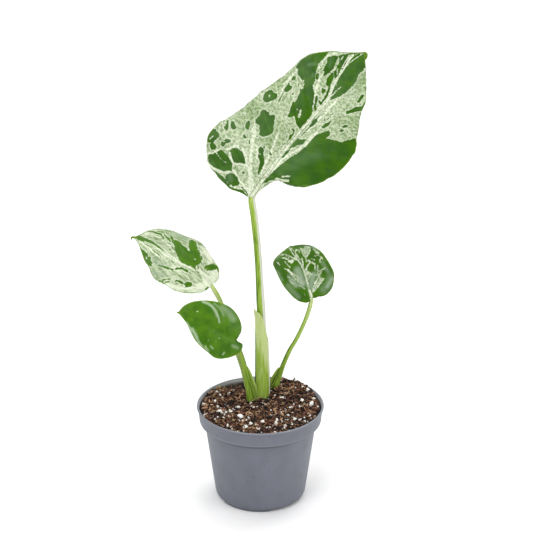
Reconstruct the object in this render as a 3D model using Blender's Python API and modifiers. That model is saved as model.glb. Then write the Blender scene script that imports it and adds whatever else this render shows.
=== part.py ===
"""A young variegated monstera in a 12 cm nursery pot.

Metres, +Z up. The origin is where the pot's axis meets the surface that it stands on, and the plant is seen
from -Y. Lengths below are in millimetres and become metres as the meshes are made.
"""

import math
import random

import bmesh
import bpy
import numpy as np
from mathutils import Matrix, Vector

MM = 0.001
GAP = 0.3  # clearance between neighbouring solids

# Pot: a thin moulded wall, turned about the axis
RIM_RADIUS = 59.7
RIM_HEIGHT = 93.0
COLLAR_DROP = 15.3  # height of the band below the lip
COLLAR_FOOT_RADIUS = 55.4
BODY_TOP_RADIUS = 52.2
BODY_FOOT_RADIUS = 43.1
WALL = 1.2
FOOT_RADIUS = 40.2
FOOT_WIDTH = 2.4
FOOT_HEIGHT = 1.9
PAD_RADIUS = 9.0
FLOOR_THICKNESS = 1.4
POT_STEPS = 64
FOOT_GAPS = 3
FOOT_GAP_ANGLE = math.radians(50)
FIRST_FOOT_GAP = math.radians(-77)
FOOT_GAP_STEPS = 6
FOOT_CUT_INSIDE = 3.0  # how far the cutter of a gap reaches past the foot ring, inwards
FOOT_CUT_OUTSIDE = 6.0  # and outwards
DRAIN_HOLES = 6
DRAIN_RADIUS = 3.6
DRAIN_CIRCLE = 27.0
DRAIN_SIDES = 16
DRAIN_CUT = 12.0  # the cutter's height, half of it above the plane that the pot stands on

# Potting mix: a turned block whose top is rough and heaped towards the back right
MIX_TOP = 88.0
MIX_DOME = 2.6
MIX_HEAP = 5.2
MIX_HEAP_AT = (31.0, 33.0)
MIX_DIP = 5.0
MIX_DIP_AT = (-30.0, 42.0)
MIX_MOUND_SPREAD = 21.0
MIX_STEPS = 44
MIX_RINGS = 11
MIX_SHOULDER = 2.0  # depth of the top's edge, which follows the wall below it
CRUMBS = 52
CRUMB_RADIUS = (1.1, 2.3)
CRUMB_STRETCH = (1.0, 1.7)  # length over width
CRUMB_HEIGHT = (0.7, 1.0)  # height over width
CRUMB_TILT = 0.5  # radians
CRUMB_SINK = 0.1  # share of its radius that a crumb's middle lies under the mix
CRUMB_TO_WALL = 4.5
CRUMB_TO_STALK = 2.0
MIX_SEED = 7

# Stalks: route of the centre line, radius along it, and the sheath that widens its lower part
STALK_SIDES = 14
STALK_RINGS = 20
STALKS = {
    "petiole_large": {
        "route": [(1.6, 18, 66), (1.5, 18, 92), (1.4, 18, 119), (1.0, 18.5, 147), (0.3, 19, 178),
                  (-0.9, 19.5, 203), (-2.7, 21, 238.5), (-5.6, 22.5, 271.5), (-8.3, 24.0, 291.3)],
        "radii": [5.0, 5.4, 5.2, 4.6, 4.0, 3.6, 3.3, 3.4, 3.2],
        "sheath_top": (186, 144),
        "sheath_reach": 1.7,
        "sheath_wraps": True,
        "sheath_faces": (1.0, -0.35),
        "colour": (0.34, 0.52, 0.13),
    },
    "petiole_upper_left": {
        "route": [(-12.6, 27.5, 68), (-13.6, 27, 90), (-16.8, 26.5, 104), (-18.9, 26.5, 118),
                  (-22.5, 27, 135), (-29.3, 28, 160.5), (-37.6, 29.3, 186.5), (-43.6, 30.2, 198.5),
                  (-45.6, 30.6, 202.2)],
        "radii": [2.4, 2.6, 2.4, 2.1, 1.9, 1.8, 1.8, 1.9, 1.6],
        "sheath_top": None,
        "colour": (0.55, 0.66, 0.30),
    },
    "petiole_lower_left": {
        "route": [(-9.9, 12.5, 70), (-9.8, 12.2, 90), (-11.0, 11.8, 103.5), (-13.2, 11, 117.5),
                  (-16.6, 9.8, 134), (-19.8, 8.6, 146), (-21.6, 7.0, 152.5), (-22.7, 5.0, 157.2)],
        "radii": [3.6, 4.0, 3.4, 2.7, 2.3, 2.1, 2.0, 1.6],
        "sheath_top": (133, 112),
        "sheath_reach": 4.6,
        "sheath_wraps": False,
        "sheath_faces": (1.0, 0.25),
        "colour": (0.23, 0.42, 0.07),
    },
    "petiole_right": {
        "route": [(12.4, 28, 68), (12.5, 28, 90), (14.4, 27.6, 101), (17.9, 27, 113), (21.8, 26.5, 125),
                  (27.2, 26, 138.5), (32.8, 25.5, 149), (39.6, 24.5, 165), (44.3, 23.8, 179),
                  (46.6, 23.1, 190.8)],
        "radii": [3.5, 3.7, 3.0, 2.5, 2.2, 2.0, 1.9, 1.9, 1.9, 1.6],
        "sheath_top": (120, 104),
        "sheath_reach": 4.2,
        "sheath_wraps": False,
        "sheath_faces": (-1.0, -0.2),
        "colour": (0.25, 0.43, 0.08),
    },
}
SHEATH_FOOT = 94.0  # a sheath that stands out on one side only ends here, clear of the mix
SHEATH_EDGE = 5.0  # height over which a wrapping sheath's top edge steps out
WING_SHARPNESS = 9  # how narrow a sheath wing is round the stalk
HOLE_TOP = 108.0  # each stalk's hole is cut by the stalk's own shape up to here, above the mix

# Blades: margins are (across, along) from the stalk's joint, before folding, with the tip at (0, length)
BLADE_THICKNESS = 0.7
MIDRIB_THICKNESS = 1.8
LINE_POINTS = 200
ROLL_MOST = 0.8  # a rolled margin's radius, at most this share of its row
ROLL_TURN = 2.2  # radians that a rolled margin turns through at most
BLADES = {
    "leaf_large": {
        "joint": (-8.5, 24, 294.2), "tip": (94.3, 68, 417.5), "faces": (-0.12, -0.90, 0.42),
        "left": [(-1.5, -2.4), (-9, -3.2), (-20, -6.5), (-30, -5.5), (-40, -4), (-50, -1.5), (-56, 4.5),
                 (-61, 10), (-66.2, 18), (-66.2, 29), (-63.4, 40), (-56.5, 59), (-51.4, 82), (-45.1, 105),
                 (-41.3, 126), (-37.4, 135), (-26.3, 147), (-11.6, 157)],
        "right": [(2.6, -1.0), (3.0, 8), (5.4, 19), (9.5, 26), (21, 30), (31, 35), (37.4, 41.5), (44.4, 52.5),
                  (49, 66), (51.3, 80), (48.5, 93), (43.5, 100.5), (37.6, 111), (33, 120.5), (29.2, 131),
                  (21.5, 142), (12, 153.5)],
        "midrib": [(-1.5, 28), (-1.5, 50), (-1.1, 73), (0.5, 96), (0.8, 112), (-3.6, 130), (-5, 148)],
        "arch": 5.0, "fold": 0.10, "droop": 0.0022, "wave": 1.6, "waves": 4.2,
        "right_veins": [(0, 0), (0.04, 0.05), (0.09, 0.11), (0.14, 0.145), (0.2, 0.165), (0.3, 0.2),
                        (0.5, 0.35), (1, 1)],
        "roll_width": 11, "roll_radius": 5, "roll_until": 0.27,
        "rows": 28, "columns": 5, "colour": (0.55, 0.66, 0.42),
    },
    "leaf_upper_left": {
        "joint": (-46.4, 30.5, 204.4), "tip": (-119.4, 58, 240.4), "faces": (0.10, -0.80, 0.55),
        "left": [(-2.6, -1.0), (-7.7, 0.5), (-11.8, 3), (-16.8, 8.6), (-20.9, 16), (-23.9, 25), (-24.4, 34),
                 (-24.5, 44.5), (-22.6, 51), (-18, 57), (-15.5, 62.5), (-11, 69), (-4.6, 77)],
        "right": [(2.2, -2.6), (7.8, -3.4), (12.8, -1.2), (16.9, 2.3), (19.4, 8), (22.6, 15.4), (26.5, 24),
                  (28, 31.6), (26.8, 39.6), (24.6, 50), (22.4, 61), (17.6, 71.5), (11.6, 78), (5, 82)],
        "midrib": [(3.6, 10), (6.1, 19), (7.4, 34), (6.8, 50), (4.7, 65), (2.6, 78)],
        "arch": 4.5, "fold": 0.12, "droop": 0.004, "wave": 0.9, "waves": 3.0,
        "rows": 20, "columns": 4, "colour": (0.74, 0.78, 0.60),
    },
    "leaf_lower_left": {
        "joint": (-23.2, 3, 159.5), "tip": (-76.6, 6, 186.4), "faces": (0.12, -0.84, 0.50),
        "left": [(-1.4, -1.6), (-1.4, -5.4), (-3.2, -8.6), (-7, -8.8), (-12.1, -6.3), (-16, -2.6), (-19.5, 2),
                 (-22.3, 7), (-23.1, 12.4), (-21.7, 19), (-20.1, 27), (-17.4, 33.6), (-13.8, 39),
                 (-9.6, 44.5), (-5, 50.5)],
        "right": [(1.5, -1.2), (4.8, -2), (9.8, -1.4), (15.1, 0.9), (20.2, 5.8), (23.9, 12), (25.8, 19.1),
                  (25.4, 26.5), (24.3, 33), (21.8, 40.4), (18.2, 47.1), (13, 54), (6.5, 58.4)],
        "midrib": [(0.1, 14), (0.4, 29), (0.6, 44)],
        "arch": 3.6, "fold": 0.10, "droop": 0.008, "wave": 0.6, "waves": 2.5,
        "rows": 20, "columns": 4, "colour": (0.06, 0.20, 0.02),
    },
    "leaf_right": {
        "joint": (47.5, 22.5, 194.5), "tip": (25.8, 42, 238.1), "faces": (0.05, -0.86, 0.50), "length": 63.0,
        "left": [(-2.0, -1.6), (-6.4, -2.8), (-12.2, 1.0), (-15.6, 6), (-17.7, 12), (-19.6, 19), (-20.6, 27),
                 (-20.8, 36.5), (-20.4, 43), (-17, 47.5), (-11, 51), (-4, 57)],
        "right": [(2.0, -2.0), (6, -2.2), (11.6, -3.6), (16.6, -2.4), (21.4, 0.4), (25.1, 5.5), (27.9, 11),
                  (28.3, 18), (27.5, 26), (26, 33), (23.5, 40), (19.5, 47), (13, 55), (6, 60.5)],
        "midrib": [(1.6, 13), (3, 25), (2.6, 32), (1, 38), (0.2, 45)],
        "arch": 2.6, "fold": 0.10, "droop": 0.006, "wave": 0.6, "waves": 2.5,
        "curl_from": 36.0, "curl_radius": 11.5, "curl_heading": (0.41, 0.91),
        "rows": 22, "columns": 4, "colour": (0.08, 0.25, 0.05),
    },
}


def clear_scene():
    for obj in list(bpy.data.objects):
        bpy.data.objects.remove(obj, do_unlink=True)


def new_collection(name):
    collection = bpy.data.collections.new(name)
    bpy.context.scene.collection.children.link(collection)
    return collection


def make_material(name, colour, roughness):
    material = bpy.data.materials.new(name)
    material.use_nodes = True
    shader = material.node_tree.nodes["Principled BSDF"]
    shader.inputs["Base Color"].default_value = (*colour, 1.0)
    shader.inputs["Roughness"].default_value = roughness
    shader.inputs["Metallic"].default_value = 0.0
    return material


def object_from_bmesh(name, shape, collection, material=None):
    mesh = bpy.data.meshes.new(name)
    shape.to_mesh(mesh)
    shape.free()
    obj = bpy.data.objects.new(name, mesh)
    collection.objects.link(obj)
    if material:
        mesh.materials.append(material)
    return obj


def as_cutter(obj):
    obj.hide_render = True
    obj.display_type = "WIRE"
    return obj


def apply_modifiers(obj):
    """Bakes an object's modifiers into its mesh."""
    bpy.context.view_layer.update()
    evaluated = obj.evaluated_get(bpy.context.evaluated_depsgraph_get())
    baked = bpy.data.meshes.new_from_object(evaluated)
    baked.name = obj.name
    obj.modifiers.clear()
    obj.data = baked


def boolean(obj, other, operation, solver="EXACT"):
    modifier = obj.modifiers.new(other.name, "BOOLEAN")
    modifier.operation = operation
    modifier.solver = solver
    modifier.object = other


def smooth_shading(obj, angle=40):
    obj.data.shade_smooth()
    obj.data.set_sharp_from_angle(angle=math.radians(angle))


def smooth_line(points, count):
    """Points at even spacing on a Catmull-Rom curve through the given ones."""
    knots = np.array(points, float)
    ends = np.vstack([2 * knots[0] - knots[1], knots, 2 * knots[-1] - knots[-2]])
    t = np.linspace(0, 1, 12, endpoint=False)[:, None]
    pieces = []
    for a, b, c, d in zip(ends, ends[1:], ends[2:], ends[3:]):
        bend = (2 * a - 5 * b + 4 * c - d) * t**2 + (3 * b - a - 3 * c + d) * t**3
        pieces.append(b + 0.5 * ((c - a) * t + bend))
    line = np.vstack([*pieces, knots[-1:]])
    travelled = np.concatenate([[0], np.cumsum(np.linalg.norm(np.diff(line, axis=0), axis=1))])
    at = np.linspace(0, travelled[-1], count)
    return np.stack([np.interp(at, travelled, line[:, k]) for k in range(line.shape[1])], axis=1)


def smooth_at(line, share):
    """Point at a share of an evenly spaced line."""
    place = share * (len(line) - 1)
    return np.array([np.interp(place, range(len(line)), line[:, k]) for k in range(line.shape[1])])


def pot_profile():
    """Inner and outer side of the wall in one line, from the floor's middle over the lip to the foot."""
    lip = RIM_HEIGHT
    collar_foot = RIM_HEIGHT - COLLAR_DROP
    floor_top = FOOT_HEIGHT + FLOOR_THICKNESS
    inner = [
        (0, floor_top),
        (BODY_FOOT_RADIUS - WALL - 2.0, floor_top),
        (BODY_FOOT_RADIUS - WALL - 0.4, floor_top + 1.5),
        (BODY_TOP_RADIUS - WALL, collar_foot - 2.2),
        (BODY_TOP_RADIUS - WALL + 0.5, collar_foot - 0.6),
        (COLLAR_FOOT_RADIUS - WALL - 0.3, collar_foot + 0.7),
        (COLLAR_FOOT_RADIUS - WALL, collar_foot + 1.6),
        (RIM_RADIUS - WALL - 1.0, lip - 2.6),
        (RIM_RADIUS - WALL - 0.9, lip - 0.8),
        (RIM_RADIUS - WALL - 0.5, lip - 0.1),
    ]
    outer = [
        (RIM_RADIUS - 0.9, lip),
        (RIM_RADIUS - 0.2, lip - 0.3),
        (RIM_RADIUS, lip - 1.0),
        (RIM_RADIUS - 0.15, lip - 1.8),
        (RIM_RADIUS - 0.7, lip - 2.5),
        (COLLAR_FOOT_RADIUS, collar_foot + 0.6),
        (COLLAR_FOOT_RADIUS - 0.5, collar_foot),
        (BODY_TOP_RADIUS + 0.5, collar_foot - 1.2),
        (BODY_TOP_RADIUS, collar_foot - 2.0),
        (BODY_FOOT_RADIUS, 6.0),
        (BODY_FOOT_RADIUS - 0.7, 3.6),
        (BODY_FOOT_RADIUS - 1.7, FOOT_HEIGHT + 0.5),
        (FOOT_RADIUS + 0.2, FOOT_HEIGHT),
        (FOOT_RADIUS, 0),
        (FOOT_RADIUS - FOOT_WIDTH, 0),
        (FOOT_RADIUS - FOOT_WIDTH - 0.3, FOOT_HEIGHT),
        (PAD_RADIUS + 0.3, FOOT_HEIGHT),
        (PAD_RADIUS, 0),
        (0, 0),
    ]
    return inner, outer


def turned(name, profile, steps, collection, material=None):
    """A profile of (radius, height) pairs turned about the Z axis."""
    shape = bmesh.new()
    vertices = [shape.verts.new((radius * MM, 0, height * MM)) for radius, height in profile]
    for first, second in zip(vertices, vertices[1:]):
        shape.edges.new((first, second))
    obj = object_from_bmesh(name, shape, collection, material)
    screw = obj.modifiers.new("turn", "SCREW")
    screw.steps = steps
    screw.render_steps = steps
    screw.use_merge_vertices = True
    screw.merge_threshold = 0.00001
    return obj


def prism(name, outline, low, high, collection):
    """A flat outline raised from one height to another."""
    shape = bmesh.new()
    face = shape.faces.new([shape.verts.new((x * MM, y * MM, low * MM)) for x, y in outline])
    raised = bmesh.ops.extrude_face_region(shape, geom=[face])
    bmesh.ops.translate(
        shape,
        vec=(0, 0, (high - low) * MM),
        verts=[item for item in raised["geom"] if isinstance(item, bmesh.types.BMVert)],
    )
    bmesh.ops.recalc_face_normals(shape, faces=shape.faces)
    return as_cutter(object_from_bmesh(name, shape, collection))


def make_pot(parts, cutters):
    inner, outer = pot_profile()
    material = make_material("pot_plastic", (0.19, 0.21, 0.25), 0.5)
    pot = turned("nursery_pot", inner + outer, POT_STEPS, parts, material)

    near, far = FOOT_RADIUS - FOOT_WIDTH - FOOT_CUT_INSIDE, FOOT_RADIUS + FOOT_CUT_OUTSIDE
    for index in range(FOOT_GAPS):
        start = FIRST_FOOT_GAP + index * math.tau / FOOT_GAPS
        angles = [start + FOOT_GAP_ANGLE * step / FOOT_GAP_STEPS for step in range(FOOT_GAP_STEPS + 1)]
        outline = [(far * math.cos(a), far * math.sin(a)) for a in angles]
        outline += [(near * math.cos(a), near * math.sin(a)) for a in reversed(angles)]
        boolean(pot, prism(f"foot_gap_{index}", outline, -1, FOOT_HEIGHT - 0.1, cutters), "DIFFERENCE")

    for index in range(DRAIN_HOLES):
        angle = (index + 0.5) * math.tau / DRAIN_HOLES
        shape = bmesh.new()
        wide = DRAIN_RADIUS * MM
        bmesh.ops.create_cone(
            shape, cap_ends=True, segments=DRAIN_SIDES, radius1=wide, radius2=wide, depth=DRAIN_CUT * MM
        )
        hole = as_cutter(object_from_bmesh(f"drain_{index}", shape, cutters))
        hole.location = (DRAIN_CIRCLE * MM * math.cos(angle), DRAIN_CIRCLE * MM * math.sin(angle), 0)
        boolean(pot, hole, "DIFFERENCE")
    apply_modifiers(pot)
    smooth_shading(pot)


def mix_height(x, y):
    """Height of the potting mix, with its heap, its dip and a rough crumb."""
    radius = math.hypot(x, y)
    spread = 2 * MIX_MOUND_SPREAD**2
    heap = math.exp(-((x - MIX_HEAP_AT[0]) ** 2 + (y - MIX_HEAP_AT[1]) ** 2) / spread)
    dip = math.exp(-((x - MIX_DIP_AT[0]) ** 2 + (y - MIX_DIP_AT[1]) ** 2) / spread)
    dome = MIX_DOME * (1 - (radius / RIM_RADIUS) ** 2)
    crumb = 0.45 * math.sin(0.62 * x + 1.3) * math.cos(0.55 * y) + 0.35 * math.sin(0.9 * y - 0.7 * x)
    return MIX_TOP + dome + MIX_HEAP * heap - MIX_DIP * dip + crumb


def wall_inside(height):
    """Inner radius of the pot at a height."""
    inner, _ = pot_profile()
    return float(np.interp(height, [z for _, z in inner[1:]], [r for r, _ in inner[1:]]))


def stalk_frame(route, index):
    """Across and forward directions at a point of a stalk's centre line."""
    along = Vector(route[min(index + 1, len(route) - 1)] - route[max(index - 1, 0)]).normalized()
    across = along.cross(Vector((0, 1, 0))).normalized()
    return across, across.cross(along)


def sheath_swell(spec, height, heading):
    """How far the sheath stands out of the stalk at a height, in a direction across it."""
    if not spec["sheath_top"]:
        return 0.0
    faces = Vector((*spec["sheath_faces"], 0)).normalized()
    toward = heading.dot(faces)
    far_top, near_top = spec["sheath_top"]
    if spec["sheath_wraps"]:
        top = near_top + (far_top - near_top) * (0.5 - 0.5 * toward)
        return spec["sheath_reach"] * min(max((top - height) / SHEATH_EDGE, 0), 1)
    rise = min(max((far_top - height) / (far_top - near_top), 0), 1) ** 0.6
    fade = min(max((height - SHEATH_FOOT) / (near_top - SHEATH_FOOT), 0), 1)
    return spec["sheath_reach"] * rise * fade * max(toward, 0) ** WING_SHARPNESS


def stalk_shape(spec, extra=0.0, top=None):
    """A tube along the stalk's route. Its sections widen with the sheath, and extra makes a hole for it."""
    route = smooth_line(spec["route"], STALK_RINGS)
    radii = smooth_line([(radius,) for radius in spec["radii"]], STALK_RINGS)[:, 0]
    route[0][2] -= extra
    rings = [index for index in range(STALK_RINGS) if top is None or route[index][2] < top]
    shape = bmesh.new()
    loops = []
    for index in rings:
        across, forward = stalk_frame(route, index)
        loop = []
        for side in range(STALK_SIDES):
            angle = math.tau * side / STALK_SIDES
            heading = across * math.cos(angle) + forward * math.sin(angle)
            reach = radii[index] + extra + sheath_swell(spec, route[index][2], heading)
            loop.append(shape.verts.new((Vector(route[index]) + heading * reach) * MM))
        loops.append(loop)
    for lower, upper in zip(loops, loops[1:]):
        for side in range(STALK_SIDES):
            after = (side + 1) % STALK_SIDES
            shape.faces.new((lower[side], lower[after], upper[after], upper[side]))
    shape.faces.new(reversed(loops[0]))
    shape.faces.new(loops[-1])
    bmesh.ops.recalc_face_normals(shape, faces=shape.faces)
    return shape


def make_stalks(parts):
    for name, spec in STALKS.items():
        material = make_material(name + "_skin", spec["colour"], 0.45)
        smooth_shading(object_from_bmesh(name, stalk_shape(spec), parts, material), 60)


def make_mix(parts, cutters):
    """Potting mix: a turned block with a rough top, raised crumbs, and a plain hole for each stalk."""
    edge = wall_inside(MIX_TOP) - GAP
    inner, _ = pot_profile()
    floor = inner[0][1] + GAP
    top = [(edge * ring / MIX_RINGS, MIX_TOP) for ring in range(MIX_RINGS)]
    shoulder = MIX_TOP - MIX_SHOULDER
    side = [(wall_inside(shoulder) - GAP, shoulder)]
    side += [(radius - GAP, z + GAP) for radius, z in inner[6:0:-1]]
    material = make_material("potting_mix_fibre", (0.07, 0.03, 0.02), 0.95)
    mix = turned("potting_mix", top + side + [(0, floor)], MIX_STEPS, parts, material)
    apply_modifiers(mix)
    for vertex in mix.data.vertices:
        x, y, z = (value / MM for value in vertex.co)
        if z > MIX_TOP - 0.01:
            vertex.co.z = mix_height(x, y) * MM

    rng = random.Random(MIX_SEED)
    stalks = [(Vector(spec["route"][1]), max(spec["radii"])) for spec in STALKS.values()]
    crumbs = bmesh.new()
    placed = 0
    while placed < CRUMBS:
        distance = (edge - CRUMB_TO_WALL) * math.sqrt(rng.random())
        angle = math.tau * rng.random()
        radius = rng.uniform(*CRUMB_RADIUS)
        spot = Vector((distance * math.cos(angle), distance * math.sin(angle), 0))
        if any(math.dist(spot[:2], foot[:2]) < wide + radius + CRUMB_TO_STALK for foot, wide in stalks):
            continue
        spot.z = mix_height(spot.x, spot.y) - CRUMB_SINK * radius
        place = Matrix.Translation(spot * MM)
        place @= Matrix.Rotation(math.tau * rng.random(), 4, "Z")
        place @= Matrix.Rotation(rng.uniform(-CRUMB_TILT, CRUMB_TILT), 4, "X")
        place @= Matrix.Diagonal((rng.uniform(*CRUMB_STRETCH), 1.0, rng.uniform(*CRUMB_HEIGHT), 1.0))
        bmesh.ops.create_icosphere(crumbs, subdivisions=1, radius=radius * MM, matrix=place)
        placed += 1
    # crumbs overlap each other, which only the manifold solver joins cleanly
    boolean(mix, as_cutter(object_from_bmesh("crumbs", crumbs, cutters)), "UNION", "MANIFOLD")
    for name, spec in STALKS.items():
        hole = as_cutter(object_from_bmesh(f"hole_{name}", stalk_shape(spec, GAP, HOLE_TOP), cutters))
        boolean(mix, hole, "DIFFERENCE", "MANIFOLD")
    apply_modifiers(mix)


def rolled(away, visible, radius):
    """Distance from the midrib and height of a point on a row whose end rolls over to the back."""
    past = away - (visible - radius)
    if past <= 0:
        return away, 0.0
    return visible - radius + radius * math.sin(past / radius), -radius * (1 - math.cos(past / radius))


def blade_point(spec, length, midrib, margin, share, across, side):
    """Point of a blade in its own axes (across, along, out), on the row from midrib to margin."""
    if side > 0 and "right_veins" in spec:
        place = np.interp(share, *zip(*spec["right_veins"]))
    else:
        place = share**2
    start = smooth_at(midrib, place)
    ray = smooth_at(margin, share) - start
    reach = max(float(np.linalg.norm(ray)), 1e-9)
    away = reach * across
    out = 0.0
    if side > 0 and share < spec.get("roll_until", 0):
        radius = min(spec["roll_radius"], ROLL_MOST * reach)
        swing = math.sin(math.pi * share / spec["roll_until"])
        lip = min(spec["roll_width"] * swing, ROLL_TURN * radius)
        away, out = rolled((reach + lip) * across, reach, radius)
    point = start + ray / reach * away
    u = point[1] / length
    out += spec["arch"] * 4 * u * (1 - u) + spec["fold"] * away - spec["droop"] * away**2
    ripple = math.sin(math.pi * share) * math.sin(math.tau * spec["waves"] * share + side)
    out += spec["wave"] * across**2 * ripple
    return curled(spec, np.array([point[0], point[1], out]))


def curled(spec, point):
    """Rolls what lies past a line over to the back, round a cylinder."""
    if "curl_from" not in spec:
        return point
    heading = np.array(spec["curl_heading"])
    past = float(point[:2] @ heading) - spec["curl_from"]
    if past <= 0:
        return point
    radius = spec["curl_radius"] + point[2]
    angle = past / spec["curl_radius"]
    flat = point[:2] - heading * past
    moved = flat + heading * radius * math.sin(angle)
    return np.array([moved[0], moved[1], radius * math.cos(angle) - spec["curl_radius"]])


def blade_axes(spec):
    joint, tip = Vector(spec["joint"]), Vector(spec["tip"])
    along = (tip - joint).normalized()
    out = Vector(spec["faces"])
    out = (out - along * out.dot(along)).normalized()
    return joint, (tip - joint).length, Matrix((along.cross(out), along, out)).transposed()


def make_blade(name, spec, parts):
    """A blade: a grid whose rows run from margin to midrib to margin, given its thickness last."""
    joint, chord, axes = blade_axes(spec)
    length = spec.get("length", chord)
    rows, columns = spec["rows"], spec["columns"]
    midrib = smooth_line([(0, 0), *spec["midrib"], (0, length)], LINE_POINTS)
    margins = {
        -1: smooth_line([*spec["left"], (0, length)], LINE_POINTS),
        1: smooth_line([*spec["right"], (0, length)], LINE_POINTS),
    }
    shape = bmesh.new()
    bmesh.ops.create_grid(shape, x_segments=2 * columns, y_segments=rows, size=1.0)
    ridge = shape.verts.layers.deform.new()
    for vertex in shape.verts:
        column = round(vertex.co.x * columns)
        step = round((vertex.co.y + 1) / 2 * rows)
        side = 1 if column > 0 else -1
        local = blade_point(spec, length, midrib, margins[side], step / rows, abs(column) / columns, side)
        vertex.co = (joint + axes @ Vector(local)) * MM
        vertex[ridge][0] = max(0.0, 1 - abs(column)) * (1 - step / rows) ** 0.5
    bmesh.ops.remove_doubles(shape, verts=shape.verts, dist=0.02 * MM)
    bmesh.ops.triangulate(shape, faces=shape.faces)
    blade = object_from_bmesh(name, shape, parts, make_material(name + "_skin", spec["colour"], 0.4))
    blade.vertex_groups.new(name="midrib")
    solidify = blade.modifiers.new("thickness", "SOLIDIFY")
    solidify.thickness = MIDRIB_THICKNESS * MM
    solidify.offset = -1
    solidify.vertex_group = "midrib"
    solidify.thickness_vertex_group = BLADE_THICKNESS / MIDRIB_THICKNESS
    smooth_shading(blade, 60)


def main():
    clear_scene()
    parts = new_collection("potted_monstera")
    cutters = new_collection("cutters")
    make_pot(parts, cutters)
    make_mix(parts, cutters)
    make_stalks(parts)
    for name, spec in BLADES.items():
        make_blade(name, spec, parts)


main()
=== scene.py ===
import math
import random

import bmesh
import bpy
import numpy as np
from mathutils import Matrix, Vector


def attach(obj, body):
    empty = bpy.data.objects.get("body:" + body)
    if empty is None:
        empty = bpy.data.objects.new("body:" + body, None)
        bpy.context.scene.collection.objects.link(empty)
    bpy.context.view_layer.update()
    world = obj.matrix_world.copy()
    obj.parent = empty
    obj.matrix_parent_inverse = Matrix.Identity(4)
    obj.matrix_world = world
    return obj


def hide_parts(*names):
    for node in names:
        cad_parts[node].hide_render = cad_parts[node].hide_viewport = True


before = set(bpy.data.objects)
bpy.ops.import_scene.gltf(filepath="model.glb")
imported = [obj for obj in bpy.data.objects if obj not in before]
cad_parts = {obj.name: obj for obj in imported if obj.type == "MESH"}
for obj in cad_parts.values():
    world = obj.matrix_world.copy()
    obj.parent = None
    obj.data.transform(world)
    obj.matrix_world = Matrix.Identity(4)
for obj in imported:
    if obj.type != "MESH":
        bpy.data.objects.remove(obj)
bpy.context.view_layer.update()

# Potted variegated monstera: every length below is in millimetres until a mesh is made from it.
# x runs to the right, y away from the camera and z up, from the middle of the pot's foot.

mm = 0.001
print("frame:", len(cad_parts), "solids")


# Camera and studio

studio = {
    "cameraAt": (5.8, -1616.9, 926.8), "tiltDown": 23.2, "focalPixels": 1931.0, "photoSide": 533,
    "sensor": 36.0,
    "gain": 1.62,  # how much brighter than its colour a surface looks in this light
    "palest": 0.95, "world": 0.52, "reflected": 0.16,
    "floorRadius": 9000, "floorSides": 96, "floorTint": (243, 243, 243), "floorRough": 0.9,
    "floorShine": 0.1, "glowFrom": 1000, "glowTo": 3200, "glow": 0.5,
    "lamps": {  # where, what it looks at, width, height, watts
        "keyLamp": ((-900, -1300, 1500), (0, 0, 200), 1100, 1300, 16),
        "fillLamp": ((1300, -700, 900), (0, 0, 200), 900, 1400, 9),
        "backLamp": ((700, 1200, 1300), (0, 20, 260), 1400, 900, 14),
        "topLamp": ((-300, 200, 1900), (0, 0, 100), 1600, 1600, 20),
    },
}


def tint(colour, gain=studio["gain"]):
    # an 8-bit sRGB colour as it looks in this light, as the linear colour that shaders take
    parts = [value / 255 for value in colour]
    linear = [part / 12.92 if part <= 0.04045 else ((part + 0.055) / 1.055) ** 2.4 for part in parts]
    return (*[min(part / gain, studio["palest"]) for part in linear], 1.0)


def addToScene(name, data):
    thing = bpy.data.objects.new(name, data)
    bpy.context.scene.collection.objects.link(thing)
    return thing


def placeLamps():
    for name, (at, looksAt, width, height, watts) in studio["lamps"].items():
        light = bpy.data.lights.new(name, "AREA")
        light.shape = "RECTANGLE"
        light.size = width * mm
        light.size_y = height * mm
        light.energy = watts
        lamp = addToScene(name, light)
        lamp.location = Vector(at) * mm
        lamp.rotation_euler = (Vector(looksAt) - Vector(at)).to_track_quat("-Z", "Y").to_euler()
    world = bpy.data.worlds.new("paleRoom")
    world.use_nodes = True
    room = world.node_tree
    background = room.nodes["Background"]
    background.inputs["Color"].default_value = (1, 1, 1, 1)
    # reflections see a dimmer room, so that gloss doesn't grey the colours
    strength = room.nodes.new("ShaderNodeMapRange")
    room.links.new(room.nodes.new("ShaderNodeLightPath").outputs["Is Glossy Ray"], strength.inputs["Value"])
    strength.inputs["To Min"].default_value = studio["world"]
    strength.inputs["To Max"].default_value = studio["reflected"]
    room.links.new(strength.outputs[0], background.inputs["Strength"])
    bpy.context.scene.world = world
    bpy.context.scene.view_settings.view_transform = "Standard"


def placeCamera():
    data = bpy.data.cameras.new("photoCamera")
    data.sensor_width = studio["sensor"]
    data.lens = studio["sensor"] * studio["focalPixels"] / studio["photoSide"]
    camera = addToScene("photoCamera", data)
    camera.location = Vector(studio["cameraAt"]) * mm
    camera.rotation_euler = (math.radians(90 - studio["tiltDown"]), 0, 0)
    bpy.context.scene.camera = camera


placeLamps()
placeCamera()
print("studio: camera and", len(studio["lamps"]), "lamps")


# Small tools for shapes

curveSteps = 24  # points that a smooth curve gets between two of its knots
tiny = 1e-9
mergeWithin, leastEdge = 0.002, 0.001  # millimetres


def ease(value, low, high):
    # smooth 0 to 1 as value goes from low to high
    share = np.clip((value - low) / (high - low), 0, 1)
    return share * share * (3 - 2 * share)


def bell(value, width):
    # 1 where value is 0, falling off on both sides
    return np.exp(-((value / width) ** 2))


def unit(vectors):
    return vectors / np.linalg.norm(vectors, axis=-1, keepdims=True)


def travel(line):
    # how far along a line each of its points lies
    return np.concatenate([[0], np.cumsum(np.linalg.norm(np.diff(line, axis=0), axis=1))])


def lineAt(line, share, knots=None):
    # points at shares of a line, which is evenly spaced unless knots says where its points lie
    knots = np.linspace(0, 1, len(line)) if knots is None else knots
    return np.stack([np.interp(share, knots, line[:, axis]) for axis in range(line.shape[1])], -1)


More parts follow.
